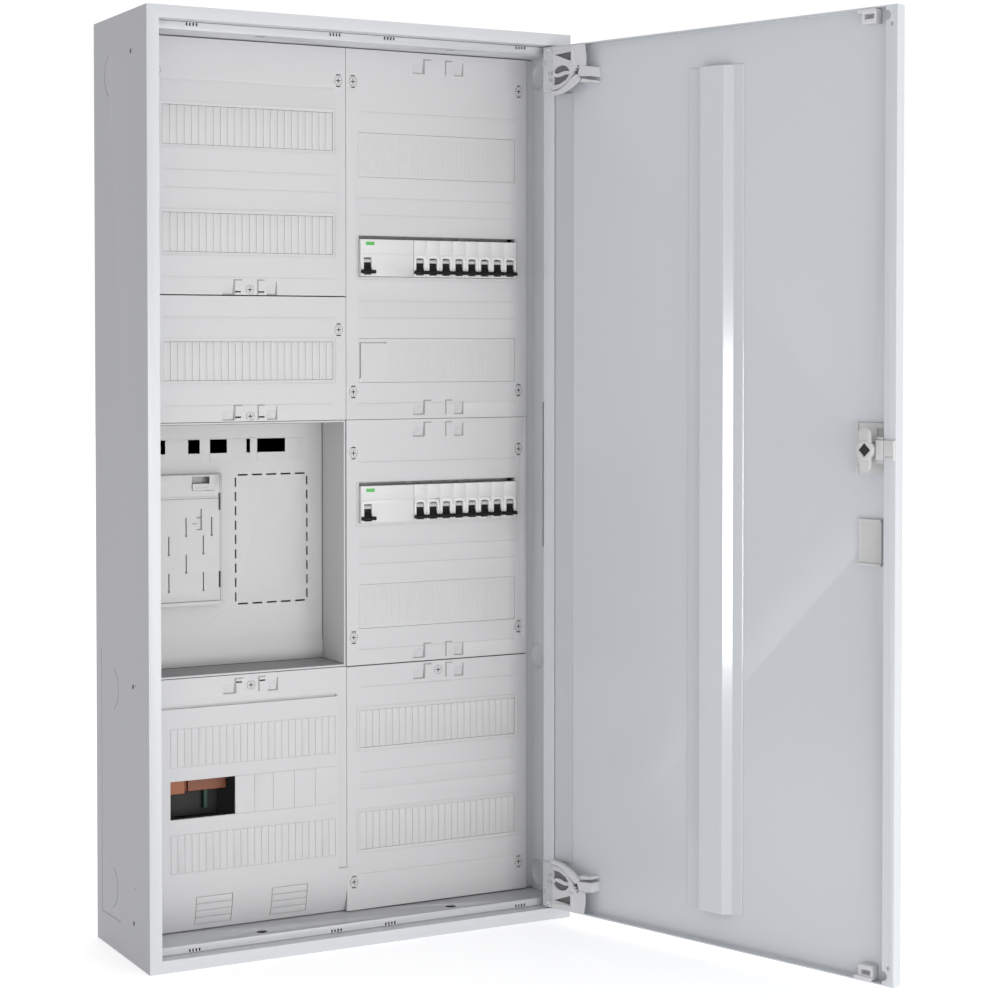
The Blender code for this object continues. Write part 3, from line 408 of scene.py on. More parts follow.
def joined(base, others, operation):
    """Boolean of millimetre meshes, one after another."""
    store = bpy.data.meshes.new("work")
    base.to_mesh(store)
    base.free()
    obj = bpy.data.objects.new("work", store)
    scene.collection.objects.link(obj)
    helpers = []
    for other in others:
        mesh = bpy.data.meshes.new("helper")
        other.to_mesh(mesh)
        other.free()
        helper = bpy.data.objects.new("helper", mesh)
        helper.hide_render = True
        scene.collection.objects.link(helper)
        modifier = obj.modifiers.new("cut", "BOOLEAN")
        modifier.operation = operation
        modifier.solver = "EXACT"
        modifier.use_self = True
        modifier.object = helper
        helpers.append(helper)
    bpy.context.view_layer.update()
    result = bmesh.new()
    result.from_object(obj, bpy.context.evaluated_depsgraph_get())
    bpy.data.objects.remove(obj, do_unlink=True)
    for helper in helpers:
        bpy.data.objects.remove(helper, do_unlink=True)
    return cleaned(result)


def cad_mesh(name):
    """A CAD node's mesh as a millimetre bmesh in cabinet coordinates."""
    bm = bmesh.new()
    bm.from_mesh(frame["nodes"][name].data)
    for vert in bm.verts:
        vert.co = (vert.co.x / MM, vert.co.y / MM, (vert.co.z - UNDERSIDE) / MM)
    return cleaned(bm)


def soften(obj, width, segments=2, angle=30.0):
    """Round the edges a little and smooth the shading across them."""
    bevel = obj.modifiers.new("bevel", "BEVEL")
    bevel.width = width * MM
    bevel.segments = segments
    bevel.limit_method = "ANGLE"
    bevel.angle_limit = math.radians(angle)
    bevel.use_clamp_overlap = True
    bevel.harden_normals = True
    for face in obj.data.polygons:
        face.use_smooth = True
    obj.data.set_sharp_from_angle(angle=math.radians(angle + 3.0))


def piece(name, bm, mat, body, place=cabinet, width=0.3, segments=2, replaces=()):
    """Place a millimetre mesh as a piece that rides on a body."""
    for vert in bm.verts:
        vert.co = place(tuple(vert.co))
    bmesh.ops.recalc_face_normals(bm, faces=bm.faces)
    if bm.calc_volume(signed=True) < 0:
        bmesh.ops.reverse_faces(bm, faces=bm.faces)
    mesh = bpy.data.meshes.new(name)
    bm.to_mesh(mesh)
    bm.free()
    mesh.materials.clear()
    mesh.materials.append(mat)
    for face in mesh.polygons:
        face.material_index = 0
    obj = bpy.data.objects.new(name, mesh)
    scene.collection.objects.link(obj)
    soften(obj, width, segments)
    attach(obj, body)
    if replaces:
        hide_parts(*replaces)
    return obj


def trim(name, bm, mat, width=0.3, segments=2):
    """A small piece that is fixed to the cabinet."""
    piece(name, bm, mat, "enclosure", width=width, segments=segments)


def carried(name, mat, width=0.4, segments=2):
    """Keep a CAD node, with rounded edges and a better finish."""
    obj = frame["nodes"][name]
    obj.data.materials.clear()
    obj.data.materials.append(mat)
    for face in obj.data.polygons:
        face.material_index = 0
    weld = obj.modifiers.new("weld", "WELD")
    weld.merge_threshold = 0.001 * MM
    tidy = obj.modifiers.new("tidy", "DECIMATE")
    tidy.decimate_type = "DISSOLVE"
    tidy.angle_limit = math.radians(0.1)
    soften(obj, width, segments)
    return obj


# ---------------------------------------------------------------- enclosure

# The sides, top and bottom take the darker side paint, which is painted shade
for name in ("side_right", "top_panel", "bottom_panel"):
    carried(name, PAINT_SIDE_SHADED, 0.4)
carried("back_panel", PAINT_REAR, 0.3)
carried("front_frame", PAINT_FRONT, 0.5, 3)
carried("inner_frame", PAINT_RAIL, 0.7, 3)
for name in ("din_rail_1", "din_rail_2"):
    carried(name, ZINC, 0.2)

# Marks pressed into the left wall: knock-out arcs (y, z and the way they face), lines and dimples
PRESSED_DEPTH = 0.6
KNOCKOUT_ARCS = ((-65.7, HEIGHT - 67.6, 0.0), (-55.6, 310.5, 180.0), (-51.0, 74.0, 180.0))
KNOCKOUT_RADII = (25.2, 26.4)
KNOCKOUT_HALF_ANGLE = 66.0
UPRIGHT_LINE = (-19.8, -18.8, 37.0, 354.0)
LEVEL_LINE = [(-19.6, 38.0), (-19.6, 36.8), (-88.0, 37.3), (-88.0, 38.5)]
DIMPLES = ((-40.1, 1036.6), (-142.9, 324.2), (-137.3, 87.9))
DIMPLE_RADIUS = 1.3

pressed = (SIDE[0] - 1.0, SIDE[0] + PRESSED_DEPTH)
wall_cuts = []
for y, z, turned in KNOCKOUT_ARCS:
    ends = (turned - KNOCKOUT_HALF_ANGLE, turned + KNOCKOUT_HALF_ANGLE)
    wall_cuts.append(band((y, z), *KNOCKOUT_RADII, *ends, 0, *pressed))
wall_cuts.append(block(*pressed, *UPRIGHT_LINE))
wall_cuts.append(prism(LEVEL_LINE, 0, *pressed))
for middle in DIMPLES:
    wall_cuts.append(disc(middle, 0, DIMPLE_RADIUS, *pressed, 16))
wall = joined(cad_mesh("side_left"), [merged(wall_cuts)], "DIFFERENCE")
piece("side_left_pressed", wall, PAINT_SIDE_SHADED, "enclosure", replaces=("side_left",))

# Round dishes in the seats of the side returns
FRAME = box_mm("front_frame")
DISH_RADIUS = 15.8
DISH_DEPTH = 6.2
DISH_STEPS = 10
dish = []
for step in range(1, DISH_STEPS + 1):
    lean = step / DISH_STEPS * math.pi / 2
    dish.append((DISH_RADIUS * math.sin(lean), DISH_DEPTH * math.cos(lean)))
dish.append((DISH_RADIUS, DISH_DEPTH))
for side, label in ((-1.0, "left"), (1.0, "right")):
    mouth = side * (FRAME[1] - FRAME_BORDER)
    for number, z in enumerate(SEAT_HEIGHTS, 1):
        bowl = lathe(dish, (mouth, SEAT_Y, z), side)
        trim(f"seat_{label}_{number}", bowl, SEAT, 0.1)

# ---------------------------------------------------------------- covers


# Strokes of a pair of hook marks around its middle: x0, x1, z0, z1 and depth
HOOK_EDGES = (
    (-35.0, -20.0, -9.2, -8.0, 1.3),
    (-20.6, -18.2, -8.6, 9.2, 1.5),
    (-18.4, -9.5, 7.9, 9.2, 1.5),
    (9.5, 19.0, 7.9, 9.2, 1.5),
    (9.5, 11.4, -8.6, 9.2, 1.5),
    (22.0, 35.0, -9.2, -8.0, 1.3),
    (33.6, 35.0, -9.2, 7.0, 1.5),
)
HOOK_RAMPS = ((-35.0, -20.0), (22.0, 34.8))
RAMP_DEPTHS = (0.925, 1.85, 0.4, 0.02)
DASH = (11.0, 18.8)
# A cutter starts this far in front of the cover
PROUD = 1.0


def hook_pockets(centre_x, z, dashes=None):
    """Cutters for a pair of moulded hook marks: smooth ramps that end at open slits."""
    cuts = []
    for x0, x1 in HOOK_RAMPS:
        cuts.append(wedge(centre_x + x0, centre_x + x1, z - 9.2, z + 3.0, RAMP_DEPTHS))
    for x0, x1, z0, z1, depth in HOOK_EDGES:
        deep = (COVER_FACE - PROUD, COVER_FACE + depth)
        cuts.append(block(centre_x + x0, centre_x + x1, *deep, z + z0, z + z1))
    if dashes is not None:
        for side in (-1.0, 1.0):
            ends = sorted(centre_x + side * reach for reach in DASH)
            slit = (COVER_FACE - PROUD, COVER_FACE + 3.0, z + dashes - 0.9, z + dashes + 0.9)
            cuts.append(block(*ends, *slit))
    return cuts


def hook_shade_lines(name, centre_x, z):
    """Painted shade in the strokes of a pair of hook marks: darker grey strips on their floors."""
    clear = 0.15
    ops = []
    for x0, x1, z0, z1, depth in HOOK_EDGES:
        floor = (COVER_FACE + 0.3, COVER_FACE + depth + 0.2)
        across = (centre_x + x0 + clear, centre_x + x1 - clear)
        ops.append((True, (*across, *floor, z + z0 + clear, z + z1 - clear)))
    trim(name, blocks(ops), HOOK_SHADE, 0.05)


SCREW_WELL = 5.4
SCREW_HEAD = 4.9
STOP_RADII = (6.4, 7.7)
STOP_HALF_ANGLE = 24.0


def screw_wells(x, z, arcs=True):
    """Cutters for a quarter-turn screw: a round seat and the two arc-shaped stops around it."""
    cuts = [disc((x, z), 1, SCREW_WELL, COVER_FACE - PROUD, COVER_FACE + 1.5)]
    if arcs:
        for middle in (90.0, -90.0):
            ring = (*STOP_RADII, middle - STOP_HALF_ANGLE, middle + STOP_HALF_ANGLE)
            cuts.append(band((x, z), *ring, 1, COVER_FACE - PROUD, COVER_FACE + 3.0, 8))
    return cuts


def plus_sign(x, z, reach, half, front, back):
    """A cross of two bars, by their half length and half width."""
    return blocks([
        (True, (x - reach, x + reach, front, back, z - half, z + half)),
        (True, (x - half, x + half, front, back, z - reach, z + reach)),
    ])


def screw(name, x, z):
    """A quarter-turn screw head with a plus slot, and the dark floor of the slot."""
    head = disc((x, z), 1, SCREW_HEAD, COVER_FACE - 0.1, COVER_FACE + 1.4)
    bm = joined(head, [plus_sign(x, z, 3.1, 0.62, COVER_FACE - PROUD, COVER_FACE + 0.9)], "DIFFERENCE")
    trim(name, bm, COVER, 0.15)
    floor = plus_sign(x, z, 3.0, 0.55, COVER_FACE + 0.35, COVER_FACE + 0.85)
    trim(f"{name}_slot", floor, SHADOW, 0.05)


GROOVE_FROM_WINDOW = 52.0


def faint_grooves(x, z_window, low, high):
    """Very shallow moulded lines above and below a window, where the cover reaches that far."""
    margin = 4.0
    cuts = []
    for side in (-1.0, 1.0):
        z = z_window + side * GROOVE_FROM_WINDOW
        if low + margin < z < high - margin:
            groove = (COVER_FACE - 0.5, COVER_FACE + 0.55, z - 0.6, z + 0.6)
            cuts.append(block(x - WINDOW_WIDE / 2, x + WINDOW_WIDE / 2, *groove))
    return cuts


# Swept foot of the lower left cover: it leaves the flat at this height and runs back by this much
SWEEP_TOP = 76.0
SWEEP_HEIGHT = 50.7
SWEEP_BACK = 10.5
GRID_LOW, GRID_HIGH = 32.0, 66.0
GRID_WIDE = 45.5
GRID_LEFTS = (-195.0, -99.0)


def foot_face(z):
    """Front face of the swept foot at a height."""
    share = max(0.0, (SWEEP_TOP - z) / SWEEP_HEIGHT)
    return COVER_FACE - 3.0 + SWEEP_BACK * share**2


def foot_grid(left):
    """Cutters for a cable knock-out of four rows that follow the sweep."""
    half = 0.4
    above, deep = 2.0, 1.6
    cuts = []
    for row in range(5):
        z = GRID_LOW + (GRID_HIGH - GRID_LOW) * row / 4
        face = foot_face(z)
        cuts.append(block(left, left + GRID_WIDE, face - above, face + deep, z - half, z + half))
    heights = [GRID_LOW + (GRID_HIGH - GRID_LOW) * step / 8 for step in range(9)]
    outline = [(foot_face(z) - above, z) for z in heights]
    outline += [(foot_face(z) + deep, z) for z in reversed(heights)]
    for x in (left, left + GRID_WIDE):
        cuts.append(prism(outline, 0, x - half, x + half))
    return cuts


# Middles of the two fields, then the heights of their windows, hook marks (with the offset of the
# dashes inside them) and the places of their screws
LEFT_X = (TRAY[0] + TRAY[1]) / 2 + 0.4
RIGHT_X = (WINDOW[0] + WINDOW[1]) / 2
WINDOWS = {
    "cover_left_upper": (973.0, 848.0),
    "cover_left_middle": (697.0,),
    "cover_right_upper": (947.0, ROWS[0], 697.0),
    "cover_right_middle": (ROWS[1], 396.5),
    "cover_right_lower": (246.5, 121.5),
}
HOOKS = {
    "cover_left_upper": ((784.5, -5.5),),
    "cover_left_middle": ((636.0, -5.5),),
    "cover_right_upper": ((1058.5, None), (639.0, None)),
    "cover_right_middle": ((612.0, None), (338.0, None)),
    "cover_right_lower": ((312.0, None),),
    "cover_left_lower": ((312.0, 4.0),),
}
SCREWS = {
    "cover_left_upper": ((-9.7, 1035.0), (-240.0, 1035.0), (-124.5, 781.5)),
    "cover_left_middle": ((-9.7, 734.5), (-124.5, 631.5)),
    "cover_right_upper": ((9.7, 1035.0), (238.6, 1035.0), (9.7, 659.0), (238.6, 659.0)),
    "cover_right_middle": ((9.7, 584.5), (238.6, 584.5), (9.7, 359.5), (238.6, 359.5)),
    "cover_right_lower": ((9.7, 60.0), (238.6, 60.0), (124.7, 312.5)),
    "cover_left_lower": ((-124.5, 311.5),),
}

for name in HOOKS:
    x0, x1, _, _, z0, z1 = box_mm(name)
    middle = LEFT_X if "left" in name else RIGHT_X
    cuts = []
    for number, (z, dashes) in enumerate(HOOKS[name], 1):
        cuts += hook_pockets(middle, z, dashes)
        hook_shade_lines(f"{name}_hooks_{number}", middle, z)
    for z in WINDOWS.get(name, ()):
        cuts += faint_grooves(middle, z, z0, z1)
    for number, (x, z) in enumerate(SCREWS[name], 1):
        beside = abs(x - middle) > 20.0
        cuts += screw_wells(x, z, beside)
        screw(f"{name}_screw_{number}", x, z)
    if name == "cover_left_lower":
        for left in GRID_LEFTS:
            cuts += foot_grid(left)
        # Shadow gap along the ledge and down its left side
        cuts.append(block(x0 + 7.0, -14.0, COVER_FACE - PROUD, COVER_FACE + 1.6, 290.0, 292.6))
        gap = (COVER_FACE - PROUD, COVER_FACE + 3.0)
        cuts.append(block(x0 + 3.0, x0 + 4.0, *gap, 84.0, 286.0))
        cuts.append(band((x0 + 7.5, 286.5), 3.6, 4.6, 90.0, 180.0, 1, *gap, 6))
    if name in ("cover_left_middle", "cover_right_lower"):
        # A wider gap above these two covers
        cuts.append(block(x0 - 1.0, x1 + 1.0, COVER_FACE - 2.0, COVER_FACE + 20.0, z1 - 0.8, z1 + 1.0))
    shape = joined(cad_mesh(name), [merged(cuts)], "DIFFERENCE")
    piece(f"{name}_moulded", shape, COVER, "enclosure", width=0.22, replaces=(name,))

for name in ("strip_left_1", "strip_left_2", "strip_left_3", "strip_right_4", "strip_right_5"):
    carried(name, STRIP, 0.25)

# Strips with fine upright grooves, and how far from the left end they start
GROOVE_PITCH = 3.6
GROOVE_HALF = 0.4
for name, first in (("strip_right_1", 0.0), ("strip_right_2", 38.0), ("strip_right_3", 0.0)):
    x0, x1, y0, _, z0, z1 = box_mm(name)
    grooves = []
    x = x0 + first + GROOVE_PITCH
    while x < x1 - 2.0:
        grooves.append(block(x - GROOVE_HALF, x + GROOVE_HALF, y0 - 1.0, y0 + 0.22, z0 + 3.5, z1 - 4.5))
        x += GROOVE_PITCH
    shape = joined(cad_mesh(name), [merged(grooves)], "DIFFERENCE")
    piece(f"{name}_ribbed", shape, STRIP, "enclosure", width=0.12, replaces=(name,))

# ---------------------------------------------------------------- meter recess

carried("meter_tray", TRAY_PLASTIC, 0.5, 3)
carried("meter_adapter", TRAY_PLASTIC, 0.25)
carried("adapter_catch", TRAY_PLASTIC, 0.3)

# Painted shade around the recess: dark strips for the gaps above it, down its right corner, behind and beside
# its floor, and a mid grey over the floor itself
plate_left, plate_right, _, plate_back, tray_low, tray_high = TRAY
plate_face = plate_back - 1.7
inner_left = plate_left + 2.2
inner_right = plate_right - 1.9
floor_top = tray_low + 1.9
RECESS_GAPS = {
    "recess_head_gap": (
        GAP_SHADE, inner_left, plate_right - 1.0, COVER_FACE + 0.9, COVER_FACE + 1.9,
        tray_high - 2.6, tray_high + 0.1,
    ),
    "recess_corner_gap": (
        GAP_SHADE, inner_right - 0.9, inner_right + 0.1, plate_face - 1.6, plate_face - 0.2,
        tray_low + 6.0, tray_high - 2.0,
    ),
    "recess_floor_gap": (
        SHADOW, inner_left, inner_right, plate_face - 1.4, plate_face + 0.2, floor_top, tray_low + 3.0,
    ),
    "recess_side_gap": (
        SHADOW, inner_right - 0.7, inner_right + 0.1, COVER_FACE + 2.0, plate_face - 1.0,
        floor_top, tray_low + 2.8,
    ),
    "recess_floor": (
        FLOOR_SHADE, inner_left, inner_right - 0.8, COVER_FACE + 1.5, plate_face - 1.5,
        floor_top, tray_low + 2.5,
    ),
}
for name, (mat, *box) in RECESS_GAPS.items():
    trim(name, block(*box), mat, 0.1)

# Foot of the plate: it swells forwards and curls back to the floor
CURL_HEIGHT = 44.0
CURL_DROP = 41.0
CURL_OUT = 2.6
CURL_STEPS = 14
curl = [(plate_face + 0.2, tray_low + 2.4), (plate_face + 0.2, tray_low + CURL_HEIGHT)]
for step in range(1, CURL_STEPS + 1):
    share = step / CURL_STEPS
    out = CURL_OUT * math.sin(math.pi * share**2.2)
    curl.append((plate_face - 0.05 - out, tray_low + CURL_HEIGHT - CURL_DROP * share))
foot = prism(curl, 0, plate_left + 2.4, inner_right - 0.6)
trim("recess_plate_foot", foot, TRAY_PLASTIC, 0.05)

# Raised label fields on the plate: thin pads without any lettering
LABEL_FIELDS = ((-247.0, -207.5), (-179.0, -129.0), (-104.0, -53.0))
for number, (x0, x1) in enumerate(LABEL_FIELDS, 1):
    pad = block(x0, x1, plate_face - 0.9, plate_face + 0.1, 585.0, 603.0)
    trim(f"label_pad_{number}", pad, TRAY_PLASTIC, 0.15)

# Small fittings of the adapter: screw points at the ends of the slots, hooks, and moulded lines, drawn as
# dark grey marks that are painted shade
ax0, ax1, a_face, _, az0, az1 = ADAPTER
for number, (x, z) in enumerate(SLOT_ENDS, 1):
    dot = disc((x, z), 1, 1.5, a_face - 0.25, a_face + 0.6, 14)
    trim(f"adapter_point_{number}", dot, GAP_SHADE, 0.1)
hooks = blocks([
    (True, (-167.5, -166.3, a_face - 0.9, a_face + 0.3, 494.0, 519.5)),
    (True, (-172.5, -166.4, a_face - 0.9, a_face + 0.3, 508.4, 509.4)),
    (True, (-178.0, -172.0, a_face - 0.5, a_face + 0.3, 501.4, 502.2)),
    (True, (-172.5, -166.4, a_face - 0.9, a_face + 0.3, 494.0, 495.0)),
])
trim("adapter_hooks", hooks, GAP_SHADE, 0.1)
corner = blocks([
    (True, (-161.5, -160.5, a_face - 0.8, a_face + 0.3, 541.0, 546.5)),
    (True, (-161.5, -150.0, a_face - 0.5, a_face + 0.3, 541.0, 541.6)),
])
trim("adapter_corner_mark", corner, GAP_SHADE, 0.1)
thin = (a_face - 0.12, a_face + 0.2)
ADAPTER_LINES = {
    "adapter_lower_line": (ax0 + 1.0, ax1 - 4.0, *thin, az0 + 4.6, az0 + 5.3),
    "adapter_side_line": (ax1 - 4.6, ax1 - 4.0, *thin, az0 + 5.0, az1 - 1.0),
    "adapter_head_line": (ax0 + 1.0, ax1 - 6.0, *thin, 531.4, 532.0),
}
for name, box in ADAPTER_LINES.items():
    trim(name, block(*box), GAP_SHADE, 0.05)
rail = block(ax0 + 0.6, ax0 + 2.0, a_face - 0.2, a_face + 0.2, 470.0, 522.0)
trim("adapter_left_rail", rail, GAP_SHADE, 0.1)

# ---------------------------------------------------------------- device rows


SHIELD_HALF = 4.6
SHIELD_RADII = (5.0, 7.3)
SHIELD_ANGLES = (96.0, 152.0)
COLLAR_OUTER = 8.2
COLLAR_INNER = 6.6
PIVOTS = {}
for joint in frame["joints"]:
    place = joint.get("pos_m")
    if joint["name"].endswith("_toggle_turn"):
        PIVOTS[joint["name"][:-5]] = (place[0] / MM, place[1] / MM, (place[2] - UNDERSIDE) / MM)


def toggle_shield(toggle):
    """A light sector above a toggle's barrel that turns with it and closes the pocket."""
    x, *centre = PIVOTS[toggle]
    ends = (x - SHIELD_HALF, x + SHIELD_HALF)
    sector = band(centre, *SHIELD_RADII, *SHIELD_ANGLES, 0, *ends, 10)
    piece(f"{toggle}_shield", sector, DEVICE, f"{toggle}_body", width=0.2)


def collar_outline(x, z):
    """An upside-down U around a toggle: round at the top, open at the bottom."""
    middle = (x, z - 4.5)
    foot = z - 12.0
    outline = [(x - COLLAR_OUTER, foot)] + arc(middle, COLLAR_OUTER, 180.0, 0.0, 16)
    outline += [(x + COLLAR_OUTER, foot), (x + COLLAR_INNER, foot)]
    return outline + arc(middle, COLLAR_INNER, 0.0, 180.0, 16) + [(x - COLLAR_INNER, foot)]


for row, z in enumerate(ROWS, 1):
    carried(f"rcd_{row}", DEVICE, 0.5, 3)
    carried(f"mcb_row_{row}", DEVICE, 0.35, 2)
    carried(f"rcd_{row}_toggle", TOGGLE, 0.45, 3)
    toggle_shield(f"rcd_{row}_toggle")
    left = box_mm(f"rcd_{row}")[0]
    label = block(left + 7.0, left + 18.5, NOSE - 0.25, NOSE + 0.2, z + 15.4, z + 19.5)
    trim(f"rcd_{row}_label", label, GREEN, 0.1)
    for number in range(1, 9):
        toggle = f"mcb_{row}_{number}_toggle"
        carried(toggle, TOGGLE, 0.4, 3)
        toggle_shield(toggle)
        x0, x1 = box_mm(toggle)[:2]
        collar = prism(collar_outline((x0 + x1) / 2, z), 1, NOSE - 0.7, NOSE + 0.2)
        trim(f"mcb_{row}_{number}_collar", collar, COLLAR, 0.3, 3)

# ---------------------------------------------------------------- terminals behind the cut-out

x0, x1, y0, _, z0, z1 = box_mm("terminal_block")
shroud = blocks([
    (True, (x0, x1, y0, -72.0, 187.0, z1)),
    (False, (x0 + 26.0, x0 + 29.0, y0 - 1.0, y0 + 4.0, 180.0, z1 + 1.0)),
    (True, (x0, x1, -73.0, -71.0, 182.0, z1)),
])
piece("terminal_shroud", shroud, ORANGE, "enclosure", width=0.6,
      replaces=("terminal_block",))
TERMINAL_PARTS = {
    "terminal_clamp": (COPPER, 1.0, x0, x0 + 25.0, y0 - 1.5, y0 + 6.0, 184.5, 207.0),
    "terminal_carrier": (INTERIOR, 0.3, x0, x1, -70.5, -66.0, z0, 181.5),
    "terminal_earth_bar": (GREEN_DARK, 0.6, -168.0, -163.0, -78.0, -70.7, 160.0, 186.0),
    "terminal_foot": (INTERIOR, 0.3, x0, x1, -100.0, -98.0, 150.0, 156.0),
}
for name, (mat, round_by, *box) in TERMINAL_PARTS.items():
    trim(name, block(*box), mat, round_by)

# ---------------------------------------------------------------- door

carried("door_leaf", PAINT_DOOR, 0.5, 3)

# Stiffener of thin sheet: flat feet, a steep left wall, a crown and a sloping right wall
STIFFENER_RISE = 9.5
seat = LEAF_INSIDE + 0.3
crown = seat + STIFFENER_RISE
left, right = STIFFENER
front = [
    (left, seat), (left, seat + 1.2), (left + 22.2, seat + 1.2), (left + 23.6, crown),
    (right - 23.9, crown), (right - 14.8, seat + 1.2), (right - 1.6, seat + 1.2), (right, seat),
]
back = [(right - 15.6, seat), (right - 24.3, crown - 1.2), (left + 24.9, crown - 1.2), (left + 23.4, seat)]
stiffener = prism(front + back, 2, STIFFENER_LOW, STIFFENER_HIGH)
piece("door_stiffener_folded", stiffener, PAINT_DOOR, "door", door, width=0.5,
      replaces=("door_stiffener",))
for name in ("latch_housing", "latch_lever", "latch_tongue", "latch_blank"):
    carried(name, LATCH, 0.5, 3)
carried("latch_spindle", DARK, 0.2)
for name in ("corner_clip_top", "corner_clip_bottom"):
    carried(name, HINGE_WHITE, 0.5, 3)
# Sloping strip beside the hinge edge, between the two hinges, in a darker copy of the door paint: painted
# shade
FOLD = (10.4, 32.0)
FOLD_FROM_END = 58.0
slope = [
    (FOLD[0], LEAF_INSIDE), (FOLD[0], LEAF_BACK - 2.5), (FOLD[1], LEAF_INSIDE + 0.6), (FOLD[1], LEAF_INSIDE),
]
fold = prism(slope, 2, LEAF_LOW + FOLD_FROM_END, LEAF_HIGH - FOLD_FROM_END)
piece("door_fold", fold, PAINT_FOLD_SHADED, "door", door)

MIDDLE = (LEAF_LOW + LEAF_HIGH) / 2
ARM_SEAT = LEAF_BACK + 0.3
# Outlines of the upper hinge as u and z. The lower hinge is the same, upside down.
ARM = [
    (12.0, 1081.5), (62.0, 1081.5), (64.5, 1067.0), (64.0, 1055.0), (54.0, 1055.0), (46.0, 1047.0),
    (38.5, 1039.5), (33.6, 1035.5), (23.5, 1030.8), (12.0, 1029.0),
]
ARM_WINDOW = [(14.6, 1072.5), (45.5, 1074.5), (44.8, 1061.4)]
ARM_BOWL = [
    (13.0, 1035.0), (23.5, 1036.0), (33.6, 1040.5), (38.6, 1046.0), (38.6, 1052.7), (33.5, 1057.3),
    (26.0, 1058.8), (18.0, 1057.3), (13.0, 1053.1),
]
ARM_BACKING = [(13.0, 1077.0), (47.0, 1076.0), (44.0, 1052.0), (38.0, 1042.0), (13.0, 1034.0)]
STRUT = [
    (12.5, 1052.0), (17.0, 1048.6), (23.5, 1050.0), (31.0, 1051.4), (39.5, 1050.6),
    (39.5, 1046.8), (31.0, 1047.0), (24.0, 1045.0), (17.0, 1044.6), (12.5, 1047.0),
]
RIB = [(12.5, 1076.0), (45.0, 1078.0), (47.0, 1060.0), (40.0, 1057.0), (42.5, 1061.0), (43.0, 1074.8)]
CRESCENT = [
    (12.0, 1022.8), (20.0, 1023.3), (28.5, 1024.8), (38.6, 1028.8), (48.6, 1034.2), (56.5, 1040.0),
    (52.0, 1045.5), (43.6, 1040.6), (33.6, 1033.0), (23.5, 1028.6), (12.0, 1026.8),
]
PAD = [(51.5, 1043.5), (76.0, 1041.5), (76.0, 1053.0), (66.0, 1054.5), (55.0, 1055.5)]
FOOT = [(54.0, 1036.0), (75.0, 1034.5), (75.5, 1037.0), (58.0, 1040.0)]
PLATE = [(-5.4, 1082.5), (10.6, 1082.5), (10.6, 1027.0), (-5.4, 1027.0)]
PLATE_HOLES = (
    [(-3.4, 1067.0), (-0.6, 1067.0), (-0.6, 1060.5), (-3.4, 1060.5)],
    [(2.6, 1053.0), (5.6, 1053.0), (5.6, 1048.5), (2.6, 1048.5)],
    [(7.2, 1053.0), (11.0, 1053.0), (11.0, 1048.5), (7.2, 1048.5)],
    [(3.6, 1045.0), (11.0, 1043.0), (11.0, 1039.5), (6.0, 1040.5)],
)
PLATE_TAB = [(-4.6, 1032.5), (8.6, 1032.5), (8.6, 1028.6), (-4.6, 1028.6)]
PLATE_SCREW = (5.2, 1078.0)


def hinge_fittings(label, flip):
    """The sector-shaped hinge arm with its crescent, and the small metal plate beside it."""

    def shape(points, low, high):
        return prism([(u, MIDDLE + flip * (z - MIDDLE)) for u, z in points], 1, low, high)

    through = (ARM_SEAT - 1.0, ARM_SEAT + 5.0)
    openings = [shape(ARM_WINDOW, *through), shape(ARM_BOWL, *through)]
    for step in range(3):
        u = 45.6 + 2.9 * step
        z = 1047.6 + 3.3 * step
        slot = [(u, z), (u + 3.6, z + 1.0), (u + 3.2, z + 2.8), (u - 0.4, z + 1.8)]
        openings.append(shape(slot, *through))
    base = joined(shape(ARM, ARM_SEAT, ARM_SEAT + 3.0), openings, "DIFFERENCE")
    # A dark grey sheet behind the arm's openings: painted shade where the bowl and window are deep
    backing = shape(ARM_BACKING, ARM_SEAT - 1.4, ARM_SEAT - 0.3)
    piece(f"hinge_arm_{label}_backing", backing, GAP_SHADE, "door", door, width=0.1)
    raised = [
        shape(STRUT, ARM_SEAT, ARM_SEAT + 2.2),
        shape(RIB, ARM_SEAT + 1.0, ARM_SEAT + 4.4),
        shape(CRESCENT, ARM_SEAT, ARM_SEAT + 5.5),
        shape(PAD, LEAF_INSIDE + 0.2, ARM_SEAT + 2.0),
        shape(FOOT, LEAF_INSIDE + 0.2, ARM_SEAT + 1.0),
    ]
    body = joined(base, raised, "UNION")
    piece(f"hinge_arm_{label}_moulded", body, HINGE_WHITE, "door", door, width=0.35,
          replaces=(f"hinge_arm_{label}",))
    holes = [shape(hole, LEAF_BACK - 1.0, LEAF_BACK + 3.0) for hole in PLATE_HOLES]
    plate = joined(shape(PLATE, LEAF_BACK + 0.1, LEAF_BACK + 1.6), holes, "DIFFERENCE")
    tab = shape(PLATE_TAB, LEAF_BACK + 1.0, LEAF_BACK + 2.4)
    plate = joined(plate, [tab], "UNION")
    piece(f"hinge_plate_{label}", plate, ZINC, "door", door, width=0.2)
    centre = (PLATE_SCREW[0], MIDDLE + flip * (PLATE_SCREW[1] - MIDDLE))
    socket = disc(centre, 1, 2.0, LEAF_BACK + 2.2, LEAF_BACK + 4.0, 6)
    head = joined(disc(centre, 1, 4.0, LEAF_BACK + 1.7, LEAF_BACK + 3.2), [socket], "DIFFERENCE")
    piece(f"hinge_screw_{label}", head, ZINC, "door", door, width=0.5, segments=3)


hinge_fittings("top", 1.0)
hinge_fittings("bottom", -1.0)

# ---------------------------------------------------------------- floor, light and camera

FLOOR_REACH = 14.0
FLOOR_GLOW = 0.44
# The sky is brighter behind the cabinet than in front, and dimmer on the left: direction, then strength
SKY_DEPTH = (-0.35, 0.45, 0.76, 1.03)
SKY_ACROSS = (-0.8, 0.1, 0.7, 1.0)
CAMERA_PLACE = (-1.1109, -2.5826, 0.1675)
CAMERA_TILT = -1.40
CAMERA_TURN = -28.268
CAMERA_LENS = 79.93
CAMERA_SHIFT = -0.102

